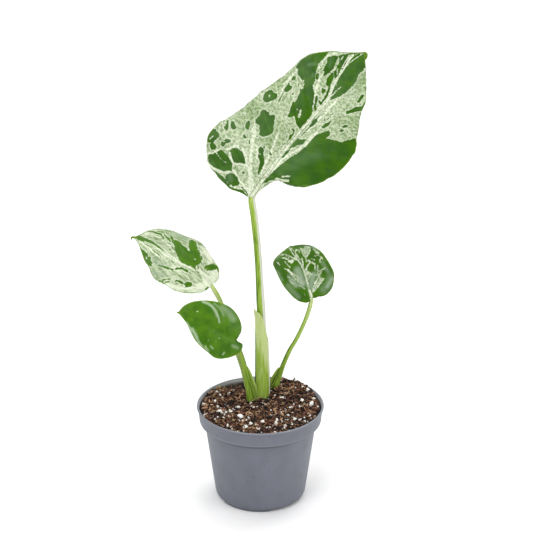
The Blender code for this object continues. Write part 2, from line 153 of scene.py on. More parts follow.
def smoothLine(points, count):
    # evenly spaced points on a smooth curve through the given ones
    knots = np.array(points, float)
    ends = np.vstack([2 * knots[0] - knots[1], knots, 2 * knots[-1] - knots[-2]])
    t = np.linspace(0, 1, curveSteps, endpoint=False)[:, None]
    pieces = []
    for a, b, c, d in zip(ends, ends[1:], ends[2:], ends[3:]):
        bend = (2 * a - 5 * b + 4 * c - d) * t**2 + (3 * b - a - 3 * c + d) * t**3
        pieces.append(b + 0.5 * ((c - a) * t + bend))
    line = np.vstack([*pieces, knots[-1:]])
    travelled = travel(line)
    return lineAt(line, np.linspace(0, 1, count), travelled / travelled[-1])


def softNoise(points, size, seed=0):
    # seeded smooth noise from -1 to 1, from whole numbers that are mixed at the corners of its cells
    scaled = np.asarray(points, float) / size
    cell = np.floor(scaled).astype(np.int64)
    part = ease(scaled - cell, 0, 1)
    total = np.zeros(scaled.shape[:-1])
    for corner in np.ndindex(2, 2, 2):
        at = cell + corner
        key = (at[..., 0] * 73856093) ^ (at[..., 1] * 19349663) ^ (at[..., 2] * 83492791) ^ (seed * 40503)
        key = ((key ^ (key >> 13)) & 0xFFFFFFF) * 1274126177
        key = (key ^ (key >> 15)) & 0xFFFFFF
        weight = np.prod(np.where(np.array(corner, bool), part, 1 - part), axis=-1)
        total += weight * (key / 0xFFFFFF * 2 - 1)
    return total


def layered(points, *layers):
    # noise in layers, each with its height, its size and its seed
    return sum(height * softNoise(points, size, seed) for height, size, seed in layers)


def gridFaces(rows, columns, start=0, closed=False):
    # quads of a grid numbered row by row
    row = np.arange(rows - 1)[:, None] * columns + start
    column = np.arange(columns if closed else columns - 1)[None, :]
    after = (column + 1) % columns
    below = row + columns
    return np.stack([row + column, row + after, below + after, below + column], -1).reshape(-1, 4)


def stripFaces(first, second):
    # quads between two lines of point numbers
    return np.stack([first[:-1], first[1:], second[1:], second[:-1]], -1)


def capFaces(rows, sides, first, last):
    # fans that close the ends of a round grid at two more points
    around = np.arange(sides)
    after = (around + 1) % sides
    top = (rows - 1) * sides
    return [np.stack([after, around, np.full(sides, first)], -1),
            np.stack([top + around, top + after, np.full(sides, last)], -1)]


def circle(steps):
    angle = np.linspace(0, 2 * np.pi, steps, endpoint=False)
    return np.stack([np.cos(angle), np.sin(angle)], -1)


def turned(profile, steps):
    # points of a profile of radii and heights that is turned about the z axis
    flat = profile[:, None, 0:1] * circle(steps)[None]
    height = np.broadcast_to(profile[:, None, 1:2], (*flat.shape[:2], 1))
    return np.concatenate([flat, height], -1).reshape(-1, 3)


def lineFrame(line, facing):
    # directions along a line and, at right angles to it, to the right and to the front
    along = unit(np.gradient(line, axis=0))
    right = unit(np.cross(facing, along))
    return along, right, np.cross(along, right)


def headings(turn, right, ahead):
    return np.cos(turn)[..., None] * right + np.sin(turn)[..., None] * ahead


def tubeRound(line, radii, sides, flatten=1.0, facing=(0, 1.0, 0.2)):
    # a closed tube along a line, flattened along a direction
    _, right, ahead = lineFrame(line, np.array(facing))
    turn = np.linspace(0, 2 * np.pi, sides, endpoint=False)[None, :]
    ring = headings(turn, right[:, None], flatten * ahead[:, None])
    points = (line[:, None] + ring * np.asarray(radii)[:, None, None]).reshape(-1, 3)
    count = len(points)
    faces = [gridFaces(len(line), sides, closed=True), *capFaces(len(line), sides, count, count + 1)]
    return np.vstack([points, line[:1], line[-1:]]), faces


def joined(parts):
    # points, faces and stored values of several parts, as one
    offset, faces, values = 0, [], {}
    for points, blocks, stores in parts:
        faces += [block + offset for block in blocks]
        offset += len(points)
        for key, numbers in stores.items():
            values.setdefault(key, []).append(numbers)
    values = {key: np.concatenate(numbers) for key, numbers in values.items()}
    return np.concatenate([part[0] for part in parts]), faces, values


def makePiece(name, points, faces, materials, values, faceMaterials=None, sharpest=60):
    # a mesh object with its values stored on its points and edges sharp from an angle in degrees
    mesh = bpy.data.meshes.new(name)
    mesh.from_pydata((points * mm).tolist(), [], [face.tolist() for block in faces for face in block])
    for key, numbers in values.items():
        numbers = np.asarray(numbers, np.float32)
        kind, field = ("FLOAT", "value") if numbers.ndim == 1 else ("FLOAT_VECTOR", "vector")
        mesh.attributes.new(key, kind, "POINT").data.foreach_set(field, numbers.ravel())
    for material in materials:
        mesh.materials.append(material)
    if faceMaterials is not None:
        mesh.polygons.foreach_set("material_index", np.asarray(faceMaterials, np.int32))
    shape = bmesh.new()
    shape.from_mesh(mesh)
    bmesh.ops.remove_doubles(shape, verts=shape.verts, dist=mergeWithin * mm)
    bmesh.ops.dissolve_degenerate(shape, dist=leastEdge * mm, edges=shape.edges)
    bmesh.ops.recalc_face_normals(shape, faces=shape.faces)
    shape.to_mesh(mesh)
    shape.free()
    shadeSmooth(mesh, sharpest)
    return addToScene(name, mesh)


def shadeSmooth(mesh, sharpest):
    mesh.shade_smooth()
    mesh.set_sharp_from_angle(angle=math.radians(sharpest))


def finishPiece(piece, slotName, *nodes):
    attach(piece, "root")
    if nodes:
        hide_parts(*nodes)
    print("piece:", piece.name, len(piece.data.polygons), "faces")


# Small tools for materials; a node goes into the tree of the first socket among its values

def put(target, value):
    if isinstance(value, bpy.types.NodeSocket):
        target.id_data.links.new(value, target)
    else:
        target.default_value = value


def addNode(kind, inputs, **settings):
    # inputs are given by their names or numbers
    tree = next(value.id_data for value in inputs.values() if isinstance(value, bpy.types.NodeSocket))
    node = tree.nodes.new("ShaderNode" + kind)
    for key, setting in settings.items():
        setattr(node, key, setting)
    for key, value in inputs.items():
        put(node.inputs[key], value)
    return node


def sums(operation, *values):
    return addNode("Math", dict(enumerate(values)), operation=operation).outputs[0]


def times(first, second):
    return sums("MULTIPLY", first, second)


def plus(first, second):
    return sums("ADD", first, second)


def minus(first, second):
    return sums("SUBTRACT", first, second)


def blend(share, first, second):
    # from the first colour to the second; three 8-bit numbers are a colour too
    first, second = (tint(colour) if isinstance(colour, tuple) else colour for colour in (first, second))
    return addNode("Mix", {0: share, 6: first, 7: second}, data_type="RGBA").outputs[2]


def ramp(value, low, high, start=0.0, end=1.0):
    # start where value is low and end where it is high, smooth between them
    return addNode("MapRange", dict(enumerate((value, low, high, start, end))),
                   interpolation_type="SMOOTHSTEP").outputs[0]


def noise(place, scale, detail=3.0, roughness=0.55):
    inputs = {"Vector": place, "Scale": scale, "Detail": detail, "Roughness": roughness}
    return addNode("TexNoise", inputs).outputs["Fac"]


def storedNumber(tree, name):
    node = tree.nodes.new("ShaderNodeAttribute")
    node.attribute_name = name
    return node.outputs["Fac"]


def stored(tree, name):
    # a vector stored on the points, and its three parts
    place = storedNumber(tree, name).node.outputs["Vector"]
    return place, *addNode("SeparateXYZ", {0: place}).outputs


def newGroup(name, takes, gives):
    tree = bpy.data.node_groups.new(name, "ShaderNodeTree")
    for label, kind in takes.items():
        tree.interface.new_socket(label, in_out="INPUT", socket_type="NodeSocket" + kind)
    for label in gives:
        tree.interface.new_socket(label, in_out="OUTPUT", socket_type="NodeSocketFloat")
    return tree, tree.nodes.new("NodeGroupInput").outputs, tree.nodes.new("NodeGroupOutput").inputs


def useGroup(group, **takes):
    return addNode("Group", takes, node_tree=group).outputs


def newMaterial(name, roughness, shine=0.5):
    material = bpy.data.materials.new(name)
    material.use_nodes = True
    shader = material.node_tree.nodes["Principled BSDF"]
    shader.inputs["Roughness"].default_value = roughness
    shader.inputs["Specular IOR Level"].default_value = shine
    return material, material.node_tree, shader


def dress(shader, colour, height, depth, strength=1.0):
    # links the colour, and a bump from a height
    put(shader.inputs["Base Color"], colour)
    bump = addNode("Bump", {"Height": height, "Distance": depth * mm, "Strength": strength})
    put(shader.inputs["Normal"], bump.outputs["Normal"])


# Node groups that several materials share

# a noise has a scale, a detail and a roughness; a ramp has the values between which it rises or falls,
# and where given what it starts and ends at
patchLook = {
    "coarse": (0.30, 2.0, 0.5), "coarseReach": 3.0, "fine": (0.75, 3.0, 0.7), "fineReach": 6.0,
    "cells": (0.40, 3.0, 0.65), "cellRamp": (0.42, 0.58), "specks": (0.62, 2.0, 0.6),
    "speckRamp": (0.61, 0.67),
    "dotRamp": (0.66, 0.69), "dotReach": (-9.0, -0.5), "rimReach": (-1.5, -0.1),
}
veinLook = {"hairlines": 7.0, "hairWidth": 0.6}
mottleLook = {"cloud": (2.0, 0.5), "cloudRamp": (0.3, 0.7), "fine": (4.0, 0.65), "fineness": 14.0}


def variegationGroup():
    # turns a field in millimetres, above 0 in green and below 0 in pale tissue, into ragged patches
    takes = {"Field": "Float", "Grain": "Vector", "Jag": "Float", "Flecks": "Float", "Soft": "Float"}
    tree, takes, gives = newGroup("variegation", takes, ["Green", "Rim", "Cells", "Specks"])
    field, grain, soft = takes["Field"], takes["Grain"], takes["Soft"]
    coarse = times(minus(noise(grain, *patchLook["coarse"]), 0.5), patchLook["coarseReach"])
    fine = times(minus(noise(grain, *patchLook["fine"]), 0.5), patchLook["fineReach"])
    edge = plus(field, times(plus(coarse, fine), takes["Jag"]))
    speckle = noise(grain, *patchLook["specks"])
    near = times(ramp(field, *patchLook["dotReach"]), takes["Flecks"])
    dots = times(ramp(speckle, *patchLook["dotRamp"]), near)
    put(gives["Green"], sums("MAXIMUM", ramp(edge, times(soft, -1.0), soft), dots))
    put(gives["Rim"], ramp(edge, *patchLook["rimReach"]))
    put(gives["Cells"], ramp(noise(grain, *patchLook["cells"]), *patchLook["cellRamp"]))
    put(gives["Specks"], ramp(speckle, *patchLook["speckRamp"]))
    return tree


def veinGroup():
    # fine lines along the lateral veins, from the phase that counts them and their spacing
    takes = {"Phase": "Float", "Spacing": "Float", "Width": "Float"}
    tree, takes, gives = newGroup("veinLines", takes, ["Vein", "Hairline"])
    hairs = "Hairline", veinLook["hairlines"], veinLook["hairWidth"]
    for label, count, width in (("Vein", 1.0, 1.0), hairs):
        phase = times(takes["Phase"], count)
        off = sums("ABSOLUTE", minus(phase, sums("ROUND", phase)))
        gap = times(off, sums("DIVIDE", takes["Spacing"], count))
        put(gives[label], ramp(gap, 0.0, times(takes["Width"], width), 1.0, 0.0))
    return tree


def mottleGroup():
    # soft cloudy variation and a fine grain on top of it
    tree, takes, gives = newGroup("mottle", {"Grain": "Vector", "Size": "Float"}, ["Cloud", "Fine"])
    scale = sums("DIVIDE", 1.0, takes["Size"])
    cloud = noise(takes["Grain"], scale, *mottleLook["cloud"])
    put(gives["Cloud"], ramp(cloud, *mottleLook["cloudRamp"]))
    put(gives["Fine"], noise(takes["Grain"], times(scale, mottleLook["fineness"]), *mottleLook["fine"]))
    return tree


variegation, veinLines, mottle = variegationGroup(), veinGroup(), mottleGroup()
print("node groups:", len(bpy.data.node_groups))


# Blades: margins and midrib as (across, along) from the stalk's joint, with the tip at (0, length)

plantShift = np.array([0.6, 0.0, -1.5])  # how far leaves and stalks stand from the frame's own
bladeUsual = {  # what a blade has unless its own values say otherwise
    "linePoints": 900, "placeSteps": 2000, "evenness": 0.65, "marginCrowd": 0.85, "ridge": 1.0, "soft": 0.2,
    "flecks": 0.0, "midribWidth": 0.0, "jag": 0.0, "streaked": False,
    "thick": 0.55, "edgeFall": 14, "tipFall": 30, "rollMost": 0.8, "rollTurn": 2.2,
    "veinSweep": 0.07, "veinShift": 0.35, "veinGap": (0.5, 40), "veinFlank": (0.8, 3.0),
    "veinKeel": (0.30, 0.55),
    "marginFlat": 0.16, "ribFlat": (1.0, 6.0), "tipFlat": 0.12,  # where the lateral veins fade out
    "groove": (0.55, 2.4), "rib": (0.62, 0.9), "keel": (0.8, 1.5),  # height and width at the midrib
    "backRelief": 0.6, "flankShare": 0.22, "hookSteps": 26, "hookSides": 12, "hookFlat": 0.40,
    "sharpest": 75,
    "ribBand": (0.008, 0.018), "ribCream": 0.7, "footCream": (0.5, 14), "cloudCream": (0.3, 16.0, 3),
    "markCream": 0.9, "mostCream": 1.4, "edging": 9.0, "lightEdging": 0.5, "streakScale": (26, 0.25),
    # noise: size and seed, with a height or a share before them
    "quiltNoise": (0.5, 7.0, 5), "swellNoise": (15.0, 8), "rippleNoise": (9.0, 11), "halvesApart": 3.0,
    "scallopNoise": ((1.0, 5.0, 31), (0.5, 2.2, 32)), "rippleFade": 5, "edgingFrom": 0.4, "flankStart": 0.5,
    # the drawn-out tip: the arc of a sine that its radius follows, and its values for the material
    "hookArc": (0.55, 3.0, 0.7), "hookField": 1.5, "hookEdging": 0.2, "hookGrain": 0.4,
    "hookVeins": (0.5, 30.0, 5.0),
}
# each blade has its own colour and share for painted reflections, which in places also show thinner
# grey-green tissue
blades = {
    "leaf_large": {
        "joint": (-8.5, 24, 294.2), "tip": (94.3, 68, 417.5), "faces": (-0.12, -0.90, 0.42),
        "left": [(-1.5, -2.4), (-9, -3.2), (-20, -6.5), (-30, -5.5), (-40, -4), (-50, -1.5), (-56, 4.5),
                 (-61, 10), (-66.2, 18), (-66.2, 29), (-63.4, 40), (-56.5, 59), (-51.4, 82), (-45.1, 105),
                 (-41.3, 126), (-37.4, 135), (-26.3, 147), (-11.6, 157)],
        "right": [(2.6, -1.0), (3.0, 8), (5.4, 19), (9.5, 26), (21, 30), (31, 35), (37.4, 41.5), (44.4, 52.5),
                  (49, 66), (51.3, 80), (48.5, 93), (43.5, 100.5), (37.6, 111), (33, 120.5), (29.2, 131),
                  (21.5, 142), (12, 153.5)],
        "midrib": [(-1.5, 28), (-1.5, 50), (-1.1, 73), (0.5, 96), (0.8, 112), (-3.6, 130), (-5, 148)],
        "rightVeins": [(0, 0), (0.04, 0.05), (0.09, 0.11), (0.14, 0.145), (0.2, 0.165), (0.3, 0.2),
                       (0.5, 0.35), (1, 1)],  # shares of the right margin and of the midrib that rows join
        "arch": 5.0, "fold": 0.10, "droop": 0.0022, "wave": 1.6, "waves": 4.2,
        "rollWidth": 11, "rollRadius": 5, "rollUntil": 0.27,
        "rows": 250, "columns": 66, "veins": 11, "quilt": 0.13, "ripple": 0.55, "swell": 0.25,
        "scallop": 0.55, "ground": "pale", "midribWidth": 1.5, "ribLines": (1.5, 0.8), "tone": 0.25,
        "jag": 0.50, "flecks": 0.9,
        "mintAndSheen": (120, 158, 106), "mintAndSheenShare": 0.6, "green": (70, 122, 12), "deepGreen": (54, 104, 18),
        "hook": [(-0.8, -4.0, -0.5), (0.4, -1.4, -0.2), (1.9, -1.2, -0.3), (3.3, -2.8, -0.7),
                 (4.3, -5.2, -1.2)],
        "hookWidth": 1.8,
    },
    "leaf_upper_left": {
        "joint": (-46.4, 30.5, 204.4), "tip": (-119.4, 58, 240.4), "faces": (0.10, -0.80, 0.55),
        "left": [(-2.6, -1.0), (-7.7, 0.5), (-11.8, 3), (-16.8, 8.6), (-20.9, 16), (-23.9, 25), (-24.4, 34),
                 (-24.5, 44.5), (-22.6, 51), (-18, 57), (-15.5, 62.5), (-11, 69), (-4.6, 77)],
        "right": [(2.2, -2.6), (7.8, -3.4), (12.8, -1.2), (16.9, 2.3), (19.4, 8), (22.6, 15.4), (26.5, 24),
                  (28, 31.6), (26.8, 39.6), (24.6, 50), (22.4, 61), (17.6, 71.5), (11.6, 78), (5, 82)],
        "midrib": [(3.6, 10), (6.1, 19), (7.4, 34), (6.8, 50), (4.7, 65), (2.6, 78)],
        "arch": 4.5, "fold": 0.12, "droop": 0.004, "wave": 0.9, "waves": 3.0,
        "rows": 170, "columns": 44, "veins": 9, "quilt": 0.08, "ripple": 0.35, "swell": 0.35,
        "scallop": 0.35, "ground": "pale", "streaked": True, "ribLines": (0.7, 0.3), "tone": 0.35,
        "jag": 0.60, "flecks": 0.9,
        "mintAndSheen": (120, 158, 106), "mintAndSheenShare": 0.7, "green": (96, 146, 34), "deepGreen": (70, 126, 22),
        "hook": [(1.0, -4.0, 0.0), (0.0, -0.5, 0.1), (-0.8, 1.6, -1.6), (-2.6, 1.2, -3.6)], "hookWidth": 1.1,
    },
    "leaf_lower_left": {
        "joint": (-23.2, 3, 159.5), "tip": (-76.6, 6, 186.4), "faces": (0.12, -0.84, 0.50),
        "left": [(-0.8, -1.2), (-0.4, -4.4), (0.1, -7.0), (-2.4, -8.8), (-7, -8.8), (-12.1, -6.3),
                 (-16, -2.6), (-19.5, 2), (-22.3, 7), (-23.1, 12.4), (-21.7, 19), (-20.1, 27), (-17.4, 33.6),
                 (-13.8, 39), (-9.6, 44.5), (-5, 50.5)],
        "right": [(1.4, 0.2), (4.9, -1.0), (9.8, -1.2), (15.1, 0.9), (20.2, 5.8), (23.9, 12), (25.8, 19.1),
                  (25.4, 26.5), (24.3, 33), (21.8, 40.4), (18.2, 47.1), (13, 54), (6.5, 58.4)],
        "midrib": [(0.1, 14), (0.4, 29), (0.6, 44)],
        "arch": 3.6, "fold": 0.10, "droop": 0.008, "wave": 0.6, "waves": 2.5,
        "rows": 150, "columns": 44, "veins": 8, "quilt": 0.05, "ripple": 0.2, "swell": 0.6, "scallop": 0.15,
        "ground": "green", "ribLines": (0.7, 0.0), "tone": 0.5, "ridge": 0.35,
        "mintAndSheen": (202, 226, 182), "mintAndSheenShare": 0.92, "green": (96, 148, 26), "deepGreen": (66, 122, 16),
        "hook": [(0.6, -3.0, 0.0), (0.1, -0.4, 0.1), (-0.2, 1.2, -0.2)], "hookWidth": 1.0,
    },
    "leaf_right": {
        "joint": (47.5, 22.5, 194.5), "tip": (25.8, 42, 238.1), "faces": (0.05, -0.86, 0.50), "length": 63.0,
        "left": [(-2.0, -1.6), (-6.4, -2.8), (-12.2, 1.0), (-15.6, 6), (-17.7, 12), (-19.6, 19), (-20.6, 27),
                 (-20.8, 36.5), (-20.2, 43.5), (-15.9, 47.2), (-10.8, 49), (-6.3, 50), (-2.5, 51), (1, 52.5),
                 (5, 55.5)],
        "right": [(2.0, -2.0), (6, -2.2), (11.6, -3.6), (16.6, -2.4), (21.4, 0.4), (25.1, 5.5), (27.9, 11),
                  (28.3, 18), (27.5, 26), (26, 33), (23.5, 40), (19.5, 47), (14.5, 54)],
        "midrib": [(1.6, 13), (3, 25), (2.6, 32), (1.7, 38), (1.8, 45), (4.5, 52)], "end": (9, 60),
        "arch": 2.6, "fold": 0.10, "droop": 0.006, "wave": 0.6, "waves": 2.5,
        "curlFrom": 36.0, "curlRadius": 11.5, "curlHeading": (0.41, 0.91),
        "rows": 160, "columns": 44, "veins": 8, "quilt": 0.06, "ripple": 0.2, "swell": 0.5, "scallop": 0.2,
        "ground": "green", "ribLines": (0.6, 0.7), "tone": 0.05, "jag": 0.52, "ridge": 0.6, "soft": 0.45,
        "mintAndSheen": (184, 206, 176), "mintAndSheenShare": 0.85, "green": (84, 136, 24), "deepGreen": (62, 112, 18),
    },
}
blades = {name: {**bladeUsual, **own} for name, own in blades.items()}

# Marks on the blades, in the order in which they are laid on: kind, width of a stroke and its points;
# a width of 0 is a filled outline. Sheen and haze are painted reflections, which in places also give the
# grey-green of thinner tissue; cream is a paler tone, and light a lighter edge
bladeMarks = {}
bladeMarks["leaf_large"] = [
    ("cream", 2.4, [(-5, 8.5), (-19, 23), (-29.5, 39.5), (-38, 54)]),
    ("cream", 2.2, [(-6, 20), (-11, 45.5), (-16, 60.5)]),
    ("cream", 1.8, [(1, 103), (-12.5, 109.5), (-18, 126.5)]),
    ("cream", 1.6, [(-38, 115.5), (-39.5, 100), (-35.5, 90)]),
    ("cream", 2, [(7.5, 116.5), (6.5, 99), (4, 78)]),
    ("green", 0, [(0.5, 13.5), (1, 22.5), (2, 31), (4, 41), (6, 49), (9.5, 57), (12, 68), (12, 74),
      (12, 79), (14.5, 84), (19, 90.5), (21.5, 90), (22.5, 87), (21.5, 83.5), (29, 87), (34.5, 89.5),
      (38, 94.5), (45.5, 103.5), (53.5, 93), (58.5, 73.5), (54, 51), (36.5, 32), (21, 28.5), (8.5, 27),
      (5, 22.5), (2, 17)]),
    ("pale", 1.3, [(11.5, 31.5), (16.5, 36)]),
    ("pale", 2.2, [(8.5, 27), (13.5, 29), (18, 32)]),
    ("green", 0, [(-41.5, 117.5), (-41.5, 124.5), (-40.5, 129), (-36, 136.5), (-31, 142.5), (-25.5, 148.5),
      (-24.5, 144), (-25.5, 138), (-26, 133.5), (-25.5, 130), (-24, 126.5), (-22, 123), (-19, 118.5),
      (-17.5, 113), (-14, 110.5), (-11.5, 108), (-9, 103), (-3.5, 95.5), (-2.5, 93), (-1.5, 88.5),
      (-2, 83.5), (-2, 79), (-3, 75.5), (-5, 76), (-9, 77.5), (-14, 82), (-15, 79.5), (-17, 77),
      (-19, 77.5), (-19.5, 81.5), (-21.5, 85.5), (-23.5, 91.5), (-21.5, 91.5), (-21.5, 95.5), (-23, 100.5),
      (-25.5, 104.5), (-23, 105.5), (-25.5, 110.5), (-31.5, 112), (-35.5, 113), (-38, 117)]),
    ("green", 0, [(-45.5, 88), (-42, 87), (-38.5, 88), (-36.5, 84), (-38, 80.5), (-42, 75), (-46, 75.5),
      (-48.5, 80), (-48, 84)]),
    ("pale", 1.4, [(-43.5, 82.5), (-43, 81)]),
    ("pale", 1.2, [(-34.5, 108.5), (-28.5, 109), (-25.5, 110)]),
    ("pale", 1, [(-31.5, 112), (-27, 108.5), (-23.5, 105.5)]),
    ("pale", 0.8, [(-27.5, 112.5), (-26.5, 108)]),
    ("pale", 1.4, [(-35, 112), (-30, 109), (-28, 103), (-25, 98.5)]),
    ("pale", 1.8, [(-12, 88.5), (-10, 83.5)]),
    ("pale", 0.7, [(-16, 88), (-15, 88)]),
    ("green", 0, [(-37.5, 106.5), (-37.5, 110), (-35.5, 111), (-34, 108.5), (-35.5, 105.5)]),
    ("green", 0, [(-36.5, 94.5), (-37, 99.5), (-36, 101), (-32.5, 102), (-31.5, 98.5), (-32, 95.5),
      (-34.5, 93.5)]),
    ("green", 1.1, [(-36.5, 102), (-35.5, 93), (-34, 86.5), (-32.5, 81)]),
    ("green", 0.9, [(-28, 105), (-29.5, 107.5)]),
    ("green", 1.2, [(-27.5, 96), (-27.5, 98)]),
    ("green", 0.9, [(-24, 94.5), (-23.5, 96.5)]),
    ("green", 0.7, [(-29.5, 92), (-29.5, 92.5)]),
    ("green", 0, [(-23.5, 142), (-20.5, 146.5), (-16.5, 149), (-15, 145.5), (-14, 141), (-12.5, 137.5),
      (-13, 132.5), (-14, 129), (-14.5, 126.5), (-16.5, 126.5), (-17.5, 129.5), (-19.5, 129.5),
      (-20, 133.5), (-21, 137.5)]),
    ("green", 0, [(-22, 125), (-19.5, 125), (-18, 122.5), (-18, 119.5), (-20, 120.5), (-22, 123.5)]),
    ("green", 0, [(-11.5, 135), (-9, 132.5), (-6.5, 128.5), (-5.5, 124.5), (-6.5, 121), (-9.5, 122),
      (-11, 125), (-12, 129), (-12, 132.5)]),
    ("green", 0, [(-10, 117), (-6, 118), (-5, 116), (-6, 113), (-8, 113.5)]),
    ("green", 0, [(-10, 109), (-7.5, 108.5), (-5.5, 105), (-4, 101), (-1.5, 99), (-2, 96), (-5, 98.5),
      (-7, 103), (-9.5, 106.5)]),
    ("green", 1.8, [(-4, 106), (-2, 105.5)]),
    ("green", 2, [(-5, 121.5), (-2.5, 115), (-1.5, 108), (-1, 104.5)]),
    ("green", 0, [(-11, 137.5), (-8.5, 136.5), (-6, 134), (-5.5, 131), (-8, 132.5), (-10.5, 135)]),
    ("green", 1.9, [(-9.5, 154), (-7.5, 146.5), (-6.5, 139.5)]),
    ("green", 1.6, [(-12.5, 153), (-13, 149), (-11.5, 144.5), (-10, 141.5)]),
    ("green", 1, [(-12, 154.5), (-8, 159.5), (-4, 163)]),
    ("green", 0, [(-0.5, 165.5), (-3.5, 162.5), (-5.5, 158), (-5.5, 153.5), (-4.5, 147.5), (-4, 139),
      (-4, 133.5), (-1.5, 128.5), (-1, 123), (-0.5, 119), (3, 112.5), (7.5, 120), (10, 127), (11, 136),
      (10.5, 142.5), (8.5, 146), (9.5, 151.5), (9.5, 156.5), (5.5, 162.5)]),
    ("pale", 0.8, [(3, 128), (2, 123.5), (1.5, 116)]),
    ("green", 0, [(-16.5, 149.5), (-13, 154), (-9, 158), (-9.5, 154), (-7.5, 146.5), (-6.5, 141),
      (-5.5, 136.5), (-5.5, 134), (-10.5, 141), (-12, 144.5)]),
    ("green", 0, [(-9, 158), (-6.5, 161.5), (-1.5, 165.5), (0, 165), (-3.5, 162.5), (-5.5, 159),
      (-7, 157.5)]),
    ("cream", 1.2, [(-7, 159), (-6.5, 151.5), (-5.5, 142.5), (-5, 134.5), (-4.5, 128)]),
    ("cream", 1.7, [(-4.5, 128), (-3, 123.5), (-1, 117.5), (0, 111), (-0.5, 98), (-1, 89), (-1.5, 79)]),
    ("pale", 0.6, [(-13, 151.5), (-12.5, 148), (-11, 144)]),
    ("light", 1.6, [(-12.5, 156), (-8.5, 159.5), (-5.5, 162.5), (-1.5, 165.5)]),
    ("haze", 9, [(9.5, 147.5), (12.5, 135.5), (13.5, 124.5), (18, 135.5)]),
    ("cream", 0.9, [(-9, 155), (-8.5, 149), (-7, 142.5), (-5.5, 136.5)]),
    ("cream", 2, [(-19, 150.5), (-22, 147), (-24.5, 144), (-24, 137.5), (-23.5, 130)]),
    ("green", 0, [(23, 136.5), (25, 133.5), (25.5, 127.5), (23.5, 125), (22.5, 129), (22.5, 133.5)]),
    ("green", 0, [(20.5, 113.5), (23, 117.5), (25, 122), (29, 126), (28.5, 130.5), (31.5, 129.5), (32, 123),
      (28, 118.5), (25, 115), (22.5, 111.5)]),
    ("green", 0, [(26, 100), (27, 103), (31, 105.5), (30.5, 103.5), (28, 100)]),
    ("green", 1.2, [(32, 120), (32.5, 119)]),
    ("green", 0, [(15, 98.5), (16, 97), (16, 92.5), (14, 89), (11.5, 88.5), (12.5, 93)]),
    ("green", 1.1, [(10.5, 95), (12, 99)]),
    ("green", 1.1, [(5.5, 97.5), (6, 100)]),
    ("green", 0.6, [(4, 107.5), (4, 102), (4, 94.5), (3.5, 89.5)]),
    ("green", 0.6, [(13, 102.5), (12, 99.5)]),
    ("green", 0.6, [(13, 105.5), (11.5, 102.5)]),
    ("green", 0.6, [(9.5, 98), (9, 91)]),
    ("green", 0.7, [(14, 134), (14.5, 134)]),
    ("green", 0.6, [(18, 127.5), (18.5, 127.5)]),
    ("green", 0, [(1, 89.5), (4, 92.5), (6, 91), (5.5, 86), (4, 81.5), (3, 73.5), (2, 73.5), (2.5, 79.5),
      (2.5, 85.5)]),
    ("green", 0.8, [(2.5, 77.5), (2.5, 72)]),
    ("green", 0, [(26.5, 96), (27.5, 98.5), (30, 99.5), (30, 97.5), (28, 95.5)]),
    ("green", 0.8, [(35.5, 97.5), (38, 101.5)]),
    ("green", 0.8, [(40, 103.5), (41.5, 102.5)]),
    ("green", 0, [(0.5, 65), (0.5, 68), (2.5, 68), (6, 70), (8, 72.5), (8.5, 70), (8, 66), (5, 62.5),
      (3.5, 59), (1.5, 56), (2.5, 52), (1.5, 46), (0.5, 43.5), (-0.5, 47.5), (0, 53), (0.5, 58)]),
    ("cream", 2, [(12, 82), (10, 75), (10.5, 69.5), (8.5, 62), (6.5, 57), (4, 51.5), (2, 44.5), (0.5, 35),
      (0.5, 30)]),
    ("green", 0.7, [(-4.5, 57.5), (-4.5, 52)]),
    ("green", 0.6, [(-5.5, 57.5), (-6, 52.5)]),
    ("green", 0, [(-9, 71), (-8, 72.5), (-5.5, 71.5), (-4, 68), (-3.5, 63.5), (-4, 61), (-5, 61.5),
      (-6.5, 65.5), (-5.5, 68.5), (-6.5, 70)]),
    ("green", 0.7, [(-11.5, 61), (-11, 60.5)]),
    ("green", 1.1, [(-8.5, 64), (-7.5, 62)]),
    ("green", 0, [(-40.5, 69.5), (-35.5, 70), (-32, 69), (-28, 71.5), (-26, 68.5), (-24.5, 65), (-20.5, 60),
      (-20, 56.5), (-22.5, 51.5), (-25.5, 48.5), (-29, 49), (-31.5, 52.5), (-34.5, 55.5), (-38, 54.5),
      (-40.5, 57.5), (-39.5, 62), (-40.5, 66)]),
    ("green", 0, [(-45.5, 52.5), (-43, 53), (-40.5, 49.5), (-39.5, 45.5), (-42.5, 45.5), (-44.5, 47.5),
      (-45.5, 50)]),
    ("green", 0, [(-56.5, 44), (-53.5, 43), (-49, 40.5), (-50.5, 37.5), (-53, 37.5), (-56, 40),
      (-57.5, 42.5)]),
    ("green", 0, [(-60, 42), (-58, 39.5), (-55.5, 36), (-54.5, 33), (-57.5, 33), (-59.5, 34), (-59, 36),
      (-59.5, 38.5), (-61, 40)]),
    ("green", 1, [(-62, 32.5), (-61, 37)]),
    ("green", 0, [(-65, 28.5), (-61, 27.5), (-57.5, 26), (-57.5, 22.5), (-58.5, 19.5), (-58, 17),
      (-55, 16.5), (-53, 15), (-53, 12.5), (-56, 11), (-59.5, 12.5), (-60.5, 15.5), (-64.5, 13),
      (-67, 15.5), (-68, 19.5), (-67.5, 25)]),
    ("pale", 0.7, [(-63, 17.5), (-62.5, 21.5)]),
    ("green", 0, [(-53, 22), (-51.5, 25), (-51, 27.5), (-46, 29), (-45, 27.5), (-47.5, 25), (-48.5, 22.5),
      (-48, 20), (-49.5, 19), (-51.5, 20)]),
    ("pale", 0.7, [(-51, 23.5), (-50, 25)]),
    ("green", 2.2, [(-39.5, 39.5), (-37.5, 39)]),
    ("green", 1.2, [(-33, 39.5), (-31, 37)]),
    ("green", 1.3, [(-30, 46), (-29, 46)]),
    ("green", 1.1, [(-46, 62), (-46, 62)]),
    ("green", 0.7, [(-25, 41), (-24.5, 41)]),
    ("green", 1.1, [(-40, 44), (-39, 43.5)]),
    ("green", 0.7, [(-47.5, 44), (-47, 44.5)]),
    ("green", 0.6, [(-55.5, 30), (-55, 30)]),
    ("green", 0.7, [(-52.5, 55.5), (-51.5, 55)]),
